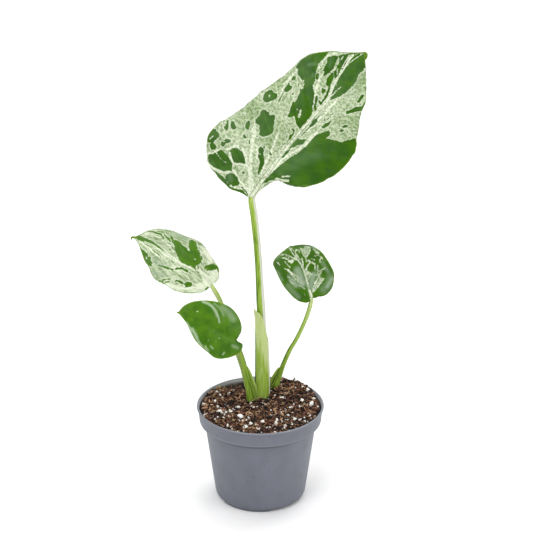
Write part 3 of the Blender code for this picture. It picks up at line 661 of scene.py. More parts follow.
    ("green", 0.6, [(-40.5, 32.5), (-40.5, 32)]),
    ("green", 0.6, [(-45.5, 35.5), (-45.5, 35.5)]),
    ("green", 2, [(-10.5, 41.5), (-9, 41)]),
    ("green", 0.8, [(-20.5, 43), (-20, 42.5)]),
    ("green", 0.8, [(-18.5, 43), (-17.5, 42.5)]),
    ("green", 0.7, [(-15, 43.5), (-15, 43)]),
    ("green", 0.7, [(-14, 42), (-14, 41.5)]),
    ("green", 0, [(-21, 41), (-18.5, 41.5), (-16.5, 41), (-15.5, 38), (-12.5, 35.5), (-9, 31.5), (-7.5, 26),
      (-7, 21.5), (-6, 18.5), (-8.5, 20.5), (-10.5, 24.5), (-13.5, 30), (-17, 32), (-19, 35.5), (-21.5, 38),
      (-21.5, 40)]),
    ("pale", 1, [(-17.5, 35), (-17, 35)]),
    ("green", 0.9, [(-11, 61), (-11, 61)]),
    ("green", 1.2, [(-8.5, 64), (-7.5, 62)]),
    ("green", 0, [(-55.5, 5.5), (-52, 9.5), (-50.5, 13), (-48, 17), (-44, 16.5), (-39.5, 16), (-36.5, 14.5),
      (-32, 13), (-28.5, 7), (-31.5, 5.5), (-35, 2), (-40.5, 0.5), (-46.5, -1), (-51, 0.5), (-54, 3)]),
    ("pale", 0.5, [(-47.5, 11), (-43, 9.5), (-36.5, 10)]),
    ("pale", 0.9, [(-51, 12.5), (-49, 11)]),
    ("green", 0, [(-40, 25), (-36.5, 27), (-31.5, 27), (-27, 24.5), (-22, 20), (-25.5, 18.5), (-28.5, 16),
      (-33, 14.5), (-36.5, 17), (-41, 20.5), (-41.5, 23)]),
    ("green", 0, [(-21.5, 10.5), (-20, 13.5), (-17, 13.5), (-18.5, 11.5)]),
    ("green", 1, [(-25, 14), (-24.5, 14)]),
    ("green", 0, [(-51, -3.5), (-45, -7.5), (-35.5, -8), (-28.5, -6.5), (-19, -7.5), (-9.5, -4.5),
      (-2.5, -4.5), (-2, -2), (-10, 0), (-15, -2.5), (-20, -3.5), (-26.5, -3), (-32.5, -1.5), (-38, -2),
      (-43.5, -2.5), (-48.5, -2.5)]),
    ("cream", 1.2, [(-50, -1), (-43.5, -1), (-38, -0.5), (-33, 2.5), (-29.5, 5.5)]),
    ("cream", 1.2, [(-28, 8.5), (-22, 7), (-16, 4.5), (-8, 3), (-1.5, 0)]),
    ("cream", 1, [(-21.5, -4.5), (-16, -3), (-11.5, 0)]),
    ("green", 0, [(-30.5, 1), (-29, 4.5), (-25.5, 6.5), (-21, 6), (-16, 3), (-15.5, 0.5), (-19, -3),
      (-23.5, -3.5), (-27, -3.5), (-29.5, -1.5)]),
    ("green", 1.3, [(-12.5, 1.5), (-8.5, 1), (-4.5, -0.5), (-2, -3)]),
    ("pale", 0.6, [(-11, 2), (-6.5, 1)]),
    ("green", 1.1, [(-11, 12), (-9, 10)]),
    ("green", 0.6, [(-4.5, 11), (-3.5, 8)]),
    ("cream", 1.3, [(-56, 6), (-52.5, 10.5), (-49, 17.5), (-43.5, 20.5), (-41, 26), (-38, 28.5)]),
    ("cream", 1.6, [(-40, 19), (-34, 14.5), (-30.5, 13), (-26.5, 17), (-21, 19.5), (-15.5, 17)]),
    ("cream", 1.6, [(-3.5, 3), (-11, 11.5), (-17.5, 18), (-25.5, 25.5), (-32.5, 29)]),
    ("cream", 2, [(-36.5, 47), (-37, 51.5), (-31, 45.5), (-30, 38.5)]),
    ("cream", 1.4, [(-24, 39), (-20, 34.5), (-17, 31)]),
    ("sheen", 7, [(-27.5, 2.5), (-24.5, 0.5)]),
    ("haze", 6, [(-19, 143), (-17, 137)]),
    ("light", 2.2, [(26, 32), (37, 41), (44.5, 52.5), (49, 66), (51, 80)]),
    ("haze", 16, [(14, 47.5), (18.5, 56.5), (24.5, 66.5)]),
    ("sheen", 4, [(-32.5, 126), (-29, 130)]),
    ("sheen", 3, [(-24, 122), (-23.5, 120.5)]),
    ("green", 1.3, [(-1.5, 128), (-4, 142.5), (-5, 154)]),
    ("green", 1, [(-1, 121.5), (-4.5, 135)]),
    ("green", 1.1, [(-12, 148), (-10.5, 139), (-7.5, 131.5)]),
    ("green", 0.9, [(-2, 107), (-4, 116.5), (-6.5, 126)]),
]
bladeMarks["leaf_upper_left"] = [
    ("cream", 7, [(25, 25), (20, 15), (9.5, 2), (0.5, 2), (-12.5, 10.5), (-21, 23.5), (-22.5, 31.5)]),
    ("cream", 3, [(3.5, 16), (4.5, 9), (2, 3)]),
    ("green", 0, [(19, 57), (19, 54.5), (17, 51.5), (17.5, 49), (18, 46), (17, 43.5), (16.5, 40.5),
      (16.5, 37.5), (15, 34), (15.5, 33.5), (18, 35.5), (20.5, 38), (24, 39), (25.5, 38.5), (26, 35.5),
      (25.5, 32.5), (23.5, 30.5), (21, 28), (20, 25), (17, 23), (15, 20.5), (12.5, 17.5), (11, 19),
      (8, 18.5), (8, 20.5), (5, 21), (3.5, 22.5), (3.5, 25), (2.5, 26.5), (2.5, 29.5), (2, 33), (2.5, 36.5),
      (4.5, 39), (6, 42), (8, 44.5), (10.5, 47), (13, 49.5), (15, 53.5)]),
    ("pale", 0.9, [(11.5, 24.5), (11.5, 25)]),
    ("pale", 0.6, [(17, 51.5), (16.5, 50.5)]),
    ("green", 1.8, [(4, 22), (3.5, 18.5), (2.5, 15.5)]),
    ("green", 0, [(8.5, 13.5), (12, 13.5), (14.5, 11), (17, 8.5), (18, 5), (16.5, 1.5), (13, -0.5), (13, 1),
      (14.5, 3), (12.5, 4.5), (11, 6), (10, 8), (8.5, 8), (8.5, 10.5), (7, 12)]),
    ("green", 0, [(-4, 77), (-6, 73), (-6.5, 69.5), (-7.5, 64.5), (-9.5, 63.5), (-8.5, 61), (-11, 60),
      (-13, 57), (-16, 54.5), (-16.5, 57), (-19.5, 57), (-17.5, 61), (-14, 66), (-9, 72)]),
    ("green", 0, [(2.5, 86), (4, 82), (5, 77), (5, 73), (5.5, 70), (5.5, 66.5), (5, 63), (4.5, 58.5),
      (3, 53.5), (2.5, 54.5), (2.5, 58.5), (3, 62.5), (3, 65.5), (2.5, 68.5), (3, 70), (2.5, 73), (1.5, 75),
      (0.5, 74.5), (0, 77.5), (-0.5, 80), (0, 83)]),
    ("green", 1.6, [(11.5, 77), (13.5, 72.5), (14.5, 67.5), (14.5, 64), (13, 60.5)]),
    ("green", 1.8, [(16, 61.5), (15, 58), (14, 54)]),
    ("green", 1, [(-0.5, 74), (-0.5, 70), (-0.5, 65)]),
    ("green", 1.6, [(-2, 63), (-2.5, 57.5), (-4, 53)]),
    ("green", 0.9, [(10.5, 50), (8.5, 45)]),
    ("green", 0.8, [(7.5, 51), (6, 46.5)]),
    ("green", 1.6, [(-11.5, 50.5), (-10.5, 46), (-9.5, 41.5), (-8, 36.5)]),
    ("green", 2.2, [(-5.5, 34.5), (-3, 30.5), (-2, 25)]),
    ("green", 0.8, [(-2, 42.5), (-1.5, 39.5)]),
    ("green", 1.7, [(-23.5, 42), (-23, 39), (-24, 36.5)]),
    ("green", 1.3, [(-21, 39.5), (-19, 37), (-17.5, 34.5)]),
    ("green", 1.4, [(-24, 37), (-20.5, 35), (-19.5, 33.5)]),
    ("green", 1.8, [(-16, 29.5), (-14.5, 26.5), (-14.5, 23)]),
    ("green", 0, [(-14, 21), (-12, 20.5), (-9.5, 18.5), (-9, 16), (-10, 13.5), (-12.5, 14), (-14.5, 16),
      (-17, 18.5), (-14.5, 19)]),
    ("green", 1.7, [(-7, 1.5), (-4.5, 0.5)]),
    ("green", 0.7, [(-25, 31), (-23.5, 27.5)]),
    ("green", 0.7, [(-20.5, 17), (-19, 13.5)]),
    ("cream", 1.2, [(5, 2), (4.5, 11), (2.5, 21), (0.5, 32.5), (0, 46), (1.5, 60.5)]),
    ("cream", 0.8, [(-0.5, 78), (-2.5, 64.5), (-5, 50.5)]),
    ("cream", 0.8, [(4, 54), (1.5, 43.5), (0.5, 32.5)]),
    ("cream", 0.8, [(8, 78), (11.5, 69), (11, 60), (9.5, 49.5)]),
    ("green", 1.5, [(2, 85.5), (2, 78.5), (3.5, 71), (3.5, 64), (3, 54.5)]),
    ("pale", 0.5, [(-9.5, 67.5), (-12, 63)]),
    ("green", 0.9, [(17.5, 23.5), (15, 19.5)]),
    ("green", 0.9, [(8, 20), (6, 17.5)]),
    ("green", 0.8, [(5.5, 21), (3.5, 19.5)]),
    ("sheen", 8, [(-10.5, 56), (-8.5, 48)]),
    ("sheen", 7, [(-20, 51), (-17, 41.5)]),
    ("sheen", 6, [(21.5, 57.5), (23.5, 47.5), (23.5, 39.5)]),
    ("haze", 5, [(7.5, 62), (7.5, 53)]),
    ("pale", 0.7, [(8.5, 8), (10.5, 8)]),
    ("pale", 0.7, [(11, 4.5), (13, 5)]),
    ("green", 0.7, [(15.5, 9.5), (17, 8.5)]),
    ("pale", 0.5, [(8, 11.5), (10, 11)]),
]
bladeMarks["leaf_lower_left"] = [
    ("pale", 0.9, [(8, 44.5), (8.5, 44)]),
    ("pale", 0.5, [(-12, 23.5), (-11.5, 24)]),
    ("pale", 0.7, [(-5.5, 15), (-5, 15)]),
    ("pale", 0.5, [(-10, 16.5), (-9.5, 16.5)]),
    ("pale", 0.4, [(-6.5, -1.5), (-6, -2)]),
    ("sheen", 3, [(19, 43), (19.5, 38), (18.5, 33.5), (16, 29), (12.5, 25.5)]),
    ("sheen", 1.6, [(16, 29), (12, 24.5), (8, 21.5)]),
    ("haze", 9, [(21.5, 24.5), (20.5, 17.5), (17, 11)]),
    ("haze", 2.5, [(22, 32.5), (20, 26), (16, 20.5)]),
    ("sheen", 2, [(-5.5, 49), (-8, 45), (-10.5, 41)]),
    ("sheen", 3.6, [(-8.5, 42), (-11.5, 37.5), (-14, 34.5)]),
    ("sheen", 2, [(-14, 34.5), (-16.5, 31.5), (-19, 27)]),
    ("haze", 3, [(-19, 25), (-20, 19.5)]),
    ("sheen", 0.8, [(-17.5, 24), (-20.5, 20.5)]),
    ("sheen", 0.7, [(-15.5, 19.5), (-16.5, 16.5)]),
    ("sheen", 0.7, [(-17.5, 5.5), (-15, 5)]),
    ("haze", 4, [(-6, 0.5), (-5.5, -4.5)]),
    ("light", 1.4, [(20, 7.5), (16.5, 3), (12, 0), (5.5, 0)]),
]
bladeMarks["leaf_right"] = [
    ("sheen", 6, [(10, 19), (5.5, 14), (3, 8.5)]),
    ("haze", 9, [(14.5, 19.5), (11.5, 13)]),
    ("haze", 8, [(-7, 26.5), (-8.5, 18.5)]),
    ("haze", 13, [(2.5, 23), (1, 14.5)]),
    ("sheen", 11, [(-2, 28), (-2.5, 21.5), (-3, 15.5)]),
    ("sheen", 7, [(-11, 23), (-9, 16.5)]),
    ("sheen", 5, [(-3.5, 29), (-2, 24), (-2, 18.5)]),
    ("sheen", 5, [(9.5, 17.5), (5.5, 12)]),
    ("sheen", 3, [(13.5, 44), (11.5, 38)]),
    ("haze", 5, [(-11.5, 27), (-10, 20.5)]),
    ("cream", 2.4, [(-1, -1.5), (0, 2), (0.5, 6.5)]),
    ("cream", 1.7, [(0, 3.5), (1, 11), (2, 16.5)]),
    ("cream", 1.2, [(1.5, 15.5), (2.5, 21), (3, 25.5), (3.5, 29)]),
    ("cream", 0.9, [(3, 28), (3, 32.5), (2, 36.5), (0, 40)]),
    ("pale", 0.9, [(3.5, 30), (3, 34.5), (2, 39), (0, 44), (0, 50.5)]),
    ("pale", 0.7, [(3, 38.5), (2.5, 44.5), (1.5, 49)]),
    ("cream", 0.8, [(4, 36.5), (3, 41.5), (2.5, 44), (4.5, 45.5), (6.5, 44), (6, 42)]),
    ("cream", 0.9, [(4, 29.5), (5.5, 33.5), (6, 37)]),
    ("pale", 0.8, [(0, 38.5), (-2.5, 42), (-6, 46), (-10.5, 47.5)]),
    ("pale", 1, [(-5.5, 40), (-7.5, 43), (-10.5, 45)]),
    ("pale", 0.7, [(-0.5, 38), (-4, 40), (-6, 44.5)]),
    ("cream", 0, [(-7, 39.5), (-4.5, 40), (-2, 38.5), (-2.5, 37), (-4.5, 36), (-5.5, 37.5)]),
    ("pale", 0.9, [(-9.5, 40.5), (-8.5, 37), (-7.5, 34)]),
    ("pale", 0, [(8.5, 45.5), (10.5, 43.5), (15.5, 44.5), (18, 42), (15.5, 38.5), (12.5, 36), (10, 35.5),
      (8, 38), (8, 41)]),
    ("green", 0.7, [(11, 41), (12.5, 39)]),
    ("pale", 0.9, [(9.5, 36), (9, 32)]),
    ("cream", 1.2, [(11, 32.5), (12, 30.5), (8, 28.5), (5.5, 26)]),
    ("pale", 1, [(13, 29.5), (15, 27), (13, 22.5)]),
    ("pale", 0.6, [(17, 25.5), (15, 20.5)]),
    ("pale", 0.9, [(22.5, 20), (19, 19.5), (15.5, 18.5), (15, 20.5)]),
    ("pale", 1, [(17.5, 18), (13.5, 15.5), (12, 18)]),
    ("pale", 0, [(4, 26.5), (6.5, 23.5), (8.5, 21), (9.5, 19), (6, 18), (3.5, 16), (2, 16.5),
      (2.5, 21.5)]),
    ("cream", 1.2, [(4.5, 23), (7, 20.5), (9, 19.5)]),
    ("cream", 0, [(-12.5, 35), (-9.5, 32.5), (-8, 29.5), (-7, 27), (-8, 26), (-9.5, 28), (-10.5, 31),
      (-11.5, 33)]),
    ("cream", 0.9, [(-9.5, 32), (-9, 27.5), (-7.5, 23), (-5.5, 18), (-2.5, 14.5)]),
    ("pale", 1.2, [(-7, 26.5), (-4.5, 23), (-2, 20.5)]),
    ("pale", 0.8, [(-8.5, 21.5), (-4.5, 20), (-3, 16)]),
    ("cream", 1, [(-12.5, 22), (-11, 18.5), (-10, 18)]),
    ("pale", 0.5, [(23, 17.5), (23.5, 17.5)]),
    ("pale", 0.5, [(-15, 40.5), (-15.5, 41.5)]),
    ("pale", 0.5, [(-5.5, 4.5), (-5.5, 5)]),
    ("pale", 0.4, [(-7.5, 12.5), (-7.5, 12.5)]),
    ("green", 0.7, [(1, 8), (2.5, 13.5)]),
    ("light", 1.6, [(5.5, 0), (10.5, -2), (16, -2)]),
    ("sheen", 6, [(24, 8), (20.5, 5.5), (17, 3)]),
    ("haze", 11, [(23.5, 9.5), (19, 4.5), (13, 2)]),
    ("haze", 6.5, [(-16, 19), (-14, 11.5), (-11.5, 5.5)]),
    ("haze", 3, [(-21.5, 26), (-19.5, 16.5)]),
    ("haze", 5, [(20.5, 45), (23.5, 38)]),
    ("haze", 4, [(-16.5, 47.5), (-11.5, 48)]),
    ("haze", 5, [(22, 25.5), (23.5, 15)]),
    ("haze", 4, [(-20, 35), (-19, 26.5)]),
    ("pale", 0.8, [(-16, 42.5), (-15, 40)]),
    ("pale", 0.6, [(14, 33), (16, 30.5)]),
    ("pale", 0.7, [(9, 17), (13.5, 18), (15, 19)]),
    ("cream", 0.6, [(-1, 15), (-2.5, 17.5), (-5.5, 22)]),
    ("pale", 0.6, [(-13, 27), (-10.5, 24), (-8.5, 20)]),
    ("pale", 0.6, [(-8, 16), (-4.5, 13), (-3, 9.5)]),
    ("pale", 0.9, [(19.5, 39), (20.5, 36), (20.5, 33)]),
    ("pale", 1.2, [(21, 36), (22.5, 34)]),
    ("pale", 0.8, [(20.5, 33), (23.5, 30.5), (23.5, 28.5)]),
    ("cream", 0.9, [(23.5, 30.5), (21, 28.5), (20, 26.5)]),
    ("pale", 0.6, [(18, 34), (18.5, 33)]),
    ("pale", 2.2, [(4, 5), (9.5, 9), (15, 12)]),
    ("cream", 1, [(3.5, 6.5), (8, 10.5), (12.5, 14)]),
    ("cream", 1.2, [(5.5, 5), (10.5, 7.5), (16.5, 11)]),
    ("pale", 0.9, [(7.5, 11), (11.5, 13.5), (14.5, 14.5)]),
    ("pale", 0.8, [(2, 3.5), (4, 6)]),
    ("green", 0.35, [(5, 7), (10.5, 11), (14, 13)]),
    ("green", 0.35, [(5.5, 5), (10.5, 8.5), (15, 11)]),
]
# The field outside the marks, how soft marks fade in, and the haze's share and the midrib's at the tip
markField = {"outside": 6.0, "softFrom": -0.8, "softWidth": 0.45, "haze": 0.45, "tipMidrib": 0.25}


def bladeAxes(spec):
    joint, tip = (np.array(spec[key], float) + plantShift for key in ("joint", "tip"))
    along = unit(tip - joint)
    out = np.array(spec["faces"], float)
    out = unit(out - along * (out @ along))
    return joint, np.linalg.norm(tip - joint), np.stack([np.cross(along, out), along, out])


def marginShare(spec, place, side):
    # where on the margin the row ends that leaves the midrib at a place
    if side > 0 and "rightVeins" in spec:
        shares, places = zip(*spec["rightVeins"])
        return np.interp(place, places, shares)
    return np.sqrt(place)


def rowPlaces(spec):
    # places of the rows on the midrib, so that they are spread evenly over midrib and margins
    place = np.linspace(0, 1, spec["placeSteps"]) ** 2
    ends = 0.5 * (marginShare(spec, place, -1) + marginShare(spec, place, 1))
    spread = spec["evenness"] * ends + (1 - spec["evenness"]) * place
    return np.interp(np.linspace(0, 1, spec["rows"]), spread, place)


def bladeSurface(spec, place, across):
    # flat places, local points and distances from the midrib of a grid; across is below 0 on the left
    length = spec.get("length", bladeAxes(spec)[1])
    end = spec.get("end", (0, length))
    midrib = smoothLine([(0, 0), *spec["midrib"], end], spec["linePoints"])
    flat = np.zeros((*across.shape, 2))
    out = np.zeros(across.shape)
    distance = np.zeros(across.shape)
    for side, key in ((-1, "left"), (1, "right")):
        mine = (across < 0) if side < 0 else (across >= 0)
        margin = smoothLine([*spec[key], end], spec["linePoints"])
        margin += scallops(spec, side, margin)
        share = marginShare(spec, place, side)
        start = lineAt(midrib, place)
        ray = lineAt(margin, share) - start
        reach = np.maximum(np.linalg.norm(ray, axis=-1), tiny)
        step = np.abs(across)
        away = reach * step
        lift = np.zeros(across.shape)
        if side > 0 and "rollUntil" in spec:
            away, lift = rolledMargin(spec, share, reach, step)
        point = start + ray / reach[..., None] * away[..., None]
        height = point[..., 1] / length
        lift += spec["arch"] * 4 * height * (1 - height) + spec["fold"] * away - spec["droop"] * away**2
        ripple = np.sin(np.pi * share) * np.sin(2 * np.pi * spec["waves"] * share + side)
        lift += spec["wave"] * step**2 * ripple
        flat[mine], out[mine], distance[mine] = point[mine], lift[mine], away[mine]
    return flat, curled(spec, flat, out), distance


def rolledMargin(spec, share, reach, step):
    # distances and heights of rows whose ends roll over to the back
    radius = np.minimum(spec["rollRadius"], spec["rollMost"] * reach)
    swing = np.sin(np.pi * np.clip(share / spec["rollUntil"], 0, 1))
    lip = np.minimum(spec["rollWidth"] * swing, spec["rollTurn"] * radius)
    full = (reach + lip) * step
    past = np.maximum(full - (reach - radius), 0)
    rolls = share < spec["rollUntil"]
    away = np.where(rolls, full, reach * step)
    away = np.where(rolls & (past > 0), reach - radius + radius * np.sin(past / radius), away)
    return away, np.where(rolls & (past > 0), -radius * (1 - np.cos(past / radius)), 0)


def scallops(spec, side, margin):
    # small uneven waves along a margin, none at its ends
    share = np.linspace(0, 1, len(margin))[:, None]
    along = unit(np.gradient(margin, axis=0))
    at = np.concatenate([margin, 0 * share + side], 1)
    depth = layered(at, *spec["scallopNoise"])
    return spec["scallop"] * (depth * np.sin(np.pi * share[:, 0]) ** 0.5)[:, None] * along[:, ::-1] * [1, -1]


def curled(spec, flat, out):
    # rolls what lies past a line over to the back, round a cylinder
    points = np.concatenate([flat, out[..., None]], -1)
    if "curlFrom" not in spec:
        return points
    heading = np.array(spec["curlHeading"])
    past = flat @ heading - spec["curlFrom"]
    radius = spec["curlRadius"] + out
    angle = past / spec["curlRadius"]
    moved = flat - heading * past[..., None] + heading * (radius * np.sin(angle))[..., None]
    bent = np.concatenate([moved, (radius * np.cos(angle) - spec["curlRadius"])[..., None]], -1)
    return np.where((past > 0)[..., None], bent, points)


def strokeDistance(points, line):
    # distance to a line of straight stretches
    nearest = np.full(points.shape[:-1], np.inf)
    for start, end in zip(line, line[1:]):
        edge = end - start
        share = np.clip((points - start) @ edge / max(edge @ edge, tiny), 0, 1)
        nearest = np.minimum(nearest, np.linalg.norm(points - start - share[..., None] * edge, axis=-1))
    return nearest


def areaDistance(points, outline):
    # distance to a closed outline, above 0 inside it
    x, y = points[..., 0], points[..., 1]
    inside = np.zeros(x.shape, bool)
    for start, end in zip(outline, np.roll(outline, -1, axis=0)):
        if start[1] != end[1]:
            crossing = (end[0] - start[0]) * (y - start[1]) / (end[1] - start[1]) + start[0]
            inside ^= ((start[1] > y) != (end[1] > y)) & (x < crossing)
    distance = strokeDistance(points, np.vstack([outline, outline[:1]]))
    return np.where(inside, distance, -distance)


def layMarks(name, spec, flat, away, place):
    # the variegation's field, above 0 in green, and the shares of the soft marks
    ground = 1 if spec["ground"] == "green" else -1
    field = np.full(flat.shape[:-1], ground * markField["outside"])
    soft = {kind: np.zeros(field.shape) for kind in ("sheen", "haze", "cream", "light")}
    for kind, width, points in bladeMarks[name]:
        line = np.array(points, float)
        near = width / 2 - strokeDistance(flat, line) if width else areaDistance(flat, line)
        if kind in soft:
            fade = ease(near, markField["softFrom"], markField["softWidth"] * width)
            soft[kind] = np.maximum(soft[kind], fade)
        if kind in ("green", "pale", "cream"):
            field = np.maximum(field, near) if kind == "green" else np.minimum(field, -near)
    if spec["midribWidth"]:
        narrower = 1 - (1 - markField["tipMidrib"]) * place
        field = np.minimum(field, away - spec["midribWidth"] * narrower)
    return field, soft


def makeBlade(name, spec):
    joint, chord, axes = bladeAxes(spec)
    length = spec.get("length", chord)
    rows, columns = spec["rows"], 2 * spec["columns"] + 1
    steps = np.linspace(-1, 1, columns)
    steps = np.sign(steps) * np.abs(steps) ** spec["marginCrowd"]
    place, across = np.meshgrid(rowPlaces(spec), steps, indexing="ij")
    flat, points, away = bladeSurface(spec, place, across)
    side, toTip = np.abs(across), 1 - place

    downward, sideways = np.gradient(points, axis=0), np.gradient(points, axis=1)
    normal = np.cross(sideways, downward)
    size = np.linalg.norm(normal, axis=-1, keepdims=True)
    normal = np.where(size > tiny, normal / np.maximum(size, tiny), 0)
    normal[-3:] = normal[-4:-3]
    normal[0] = normal[1]

    # lateral veins sweep towards the tip, and stand a few millimetres apart
    phase = spec["veins"] * (place - spec["veinSweep"] * across**2 * toTip)
    phase += np.where(across < 0, 0.0, spec["veinShift"])
    rowStep = np.linalg.norm(downward, axis=-1) / np.maximum(np.gradient(place, axis=0), 1e-6)
    spacing = np.clip(rowStep / spec["veins"], *spec["veinGap"])
    offVein = np.abs(phase - np.round(phase)) * spacing
    between = ease(1 - side, 0, spec["marginFlat"]) * ease(away, *spec["ribFlat"])
    between *= ease(toTip, 0, spec["tipFlat"])
    flank = np.clip(spec["flankShare"] * spacing, *spec["veinFlank"])
    relief = spec["quilt"] * between * (1 - 2 * bell(offVein, flank))
    uneven = np.concatenate([flat, spec["halvesApart"] * (across > 0)[..., None]], -1)
    share, *grain = spec["quiltNoise"]
    relief += between * layered(uneven, (share * spec["quilt"], *grain))
    relief += layered(uneven, (spec["swell"], *spec["swellNoise"]))
    margin = side ** spec["rippleFade"] * layered(uneven, (spec["ripple"], *spec["rippleNoise"]))
    ridge = spec["ridge"] * toTip**0.5
    (grooveDeep, grooveWide), (ribHigh, ribWide) = spec["groove"], spec["rib"]
    middle = ridge * (ribHigh * bell(away, ribWide) - grooveDeep * bell(away, grooveWide))
    front = points + normal * (relief + middle + margin)[..., None]

    # the back follows at the blade's thickness, which ends in nothing at the margins
    taper = np.sqrt(np.clip(1 - side ** spec["edgeFall"], 0, 1) * np.clip(toTip * spec["tipFall"], 0, 1))
    (veinHigh, veinWide), (keelHigh, keelWide) = spec["veinKeel"], spec["keel"]
    keel = veinHigh * bell(offVein, veinWide) * between + keelHigh * ridge * bell(away, keelWide)
    behind = (spec["thick"] + keel) * taper
    back = points + normal * (spec["backRelief"] * relief + margin - behind)[..., None]
    front = np.where(taper[..., None] < 1e-3, back, front)
    grid = np.concatenate([front.reshape(-1, 3), back.reshape(-1, 3)]) @ axes + joint
    count = rows * columns
    base = np.arange(columns)
    faces = [gridFaces(rows, columns), gridFaces(rows, columns, count)[:, ::-1]]
    faces.append(stripFaces(base + count, base))

    # values for the material
    field, soft = layMarks(name, spec, flat, away, place)
    (bandTip, bandFoot), (footPale, footReach) = spec["ribBand"], spec["footCream"]
    creamy = spec["tone"] + spec["ribCream"] * bell(away, length * (bandTip + bandFoot * toTip**2))
    creamy += footPale * np.exp(-np.linalg.norm(flat, axis=-1) / footReach)
    creamy += layered(uneven, spec["cloudCream"]) + spec["markCream"] * soft["cream"]
    # millimetres to the margin, and less where it is lighter
    least = spec["edgingFrom"]
    edging = np.where(side > least, away * (1 / np.maximum(side, least) - 1), spec["edging"])
    edging = np.minimum(edging, spec["edging"] + (spec["lightEdging"] - spec["edging"]) * soft["light"])
    marks = np.stack([field, np.clip(creamy, 0, spec["mostCream"]), edging], -1).reshape(-1, 3)
    grain = np.concatenate([flat, 0 * flat[..., :1]], -1)
    if spec["streaked"]:
        grain[..., 0] = spec["streakScale"][0] * across
        grain[..., 1] *= spec["streakScale"][1]
    grain = grain.reshape(-1, 3)
    beside = away / (spec["flankStart"] + spec["ribLines"][0] * toTip)
    veins = np.stack([phase, spacing, beside], -1).reshape(-1, 3)
    # painted reflections from the sheen and fainter haze marks, in places also the grey-green of thinner
    # tissue
    mintAndSheen = np.maximum(soft["sheen"], markField["haze"] * soft["haze"]).ravel()
    values = {"marks": [marks] * 2, "grain": [grain] * 2, "veins": [veins] * 2, "sheen": [mintAndSheen, 0 * mintAndSheen]}
    parts = [(grid, faces, {key: np.concatenate(numbers) for key, numbers in values.items()})]
    if "hook" in spec:
        lastMarks = marks[(rows - 3) * columns + spec["columns"]]
        parts.append(tipHook(spec, joint + length * axes[1], axes, lastMarks))
    points, faces, values = joined(parts)
    faceMaterials = np.repeat([0, 1, 1, 0, 0, 0][: len(faces)], [len(block) for block in faces])
    skins = [bladeMaterial(f"{name}_{face}", face, spec) for face in ("front", "back")]
    return makePiece(name + "_blade", points, faces, skins, values, faceMaterials, spec["sharpest"])


def tipHook(spec, tip, axes, lastMarks):
    # the small drawn-out tip, coloured as the blade beside it
    line = smoothLine([tip + np.array(step) @ axes for step in spec["hook"]], spec["hookSteps"])
    start, end, power = spec["hookArc"]
    radii = spec["hookWidth"] * np.sin(np.linspace(start, end, len(line))) ** power
    points, faces = tubeRound(line, radii, spec["hookSides"], spec["hookFlat"], axes[2])
    count = len(points)
    return points, faces, {
        "marks": np.tile([spec["hookField"], lastMarks[1], spec["hookEdging"]], (count, 1)),
        "grain": points * spec["hookGrain"], "veins": np.tile(spec["hookVeins"], (count, 1)),
        "sheen": np.zeros(count),
    }


bladeLook = {
    "front": {
        "greenShare": 0.0, "lightGreen": (134, 168, 44), "specks": (84, 128, 44), "edge": (118, 148, 78),
        # the mist colour is painted reflection over pale tissue, in places also thinner grey-green tissue
        "sage": (108, 146, 72), "pale": (202, 224, 172), "cream": (262, 270, 240), "paleMintAndSheen": (172, 192, 162),
        "rough": 0.30, "shine": 0.18, "veins": 0.4,
    },
    "back": {
        "greenShare": 0.45, "lightGreen": (150, 180, 112), "specks": (140, 168, 112),
        "edge": (150, 170, 120),
        "sage": (184, 200, 160), "pale": (206, 218, 182), "cream": (228, 234, 206), "paleMintAndSheen": (186, 202, 176),
        "rough": 0.55, "shine": 0.25, "veins": 0.75,
    },
    "both": {
        "veinWidth": 0.8, "cloudSize": 11.0, "greenVeins": 0.3, "hairlines": 0.05,
        "greenEdge": (0.1, 1.5, 0.7, 0.0),
        "cells": 0.7, "creamEven": 0.5, "creamCells": 0.6, "rim": 0.55, "speckRamp": (0.0, 1.2, 0.9, 0.2),
        "paleEdge": (0.1, 1.1, 0.55, 0.0), "flank": (0.05, 0.32, 1.0, 0.0),
        "flankGaps": (0.36, 0.50, 0.3, 1.0),
        "mintAndSheenGaps": (0.35, 0.6, 0.55, 1.0), "roughSpread": 0.10, "bump": (0.08, 0.5), "bumpLines": -0.4,
    },
}


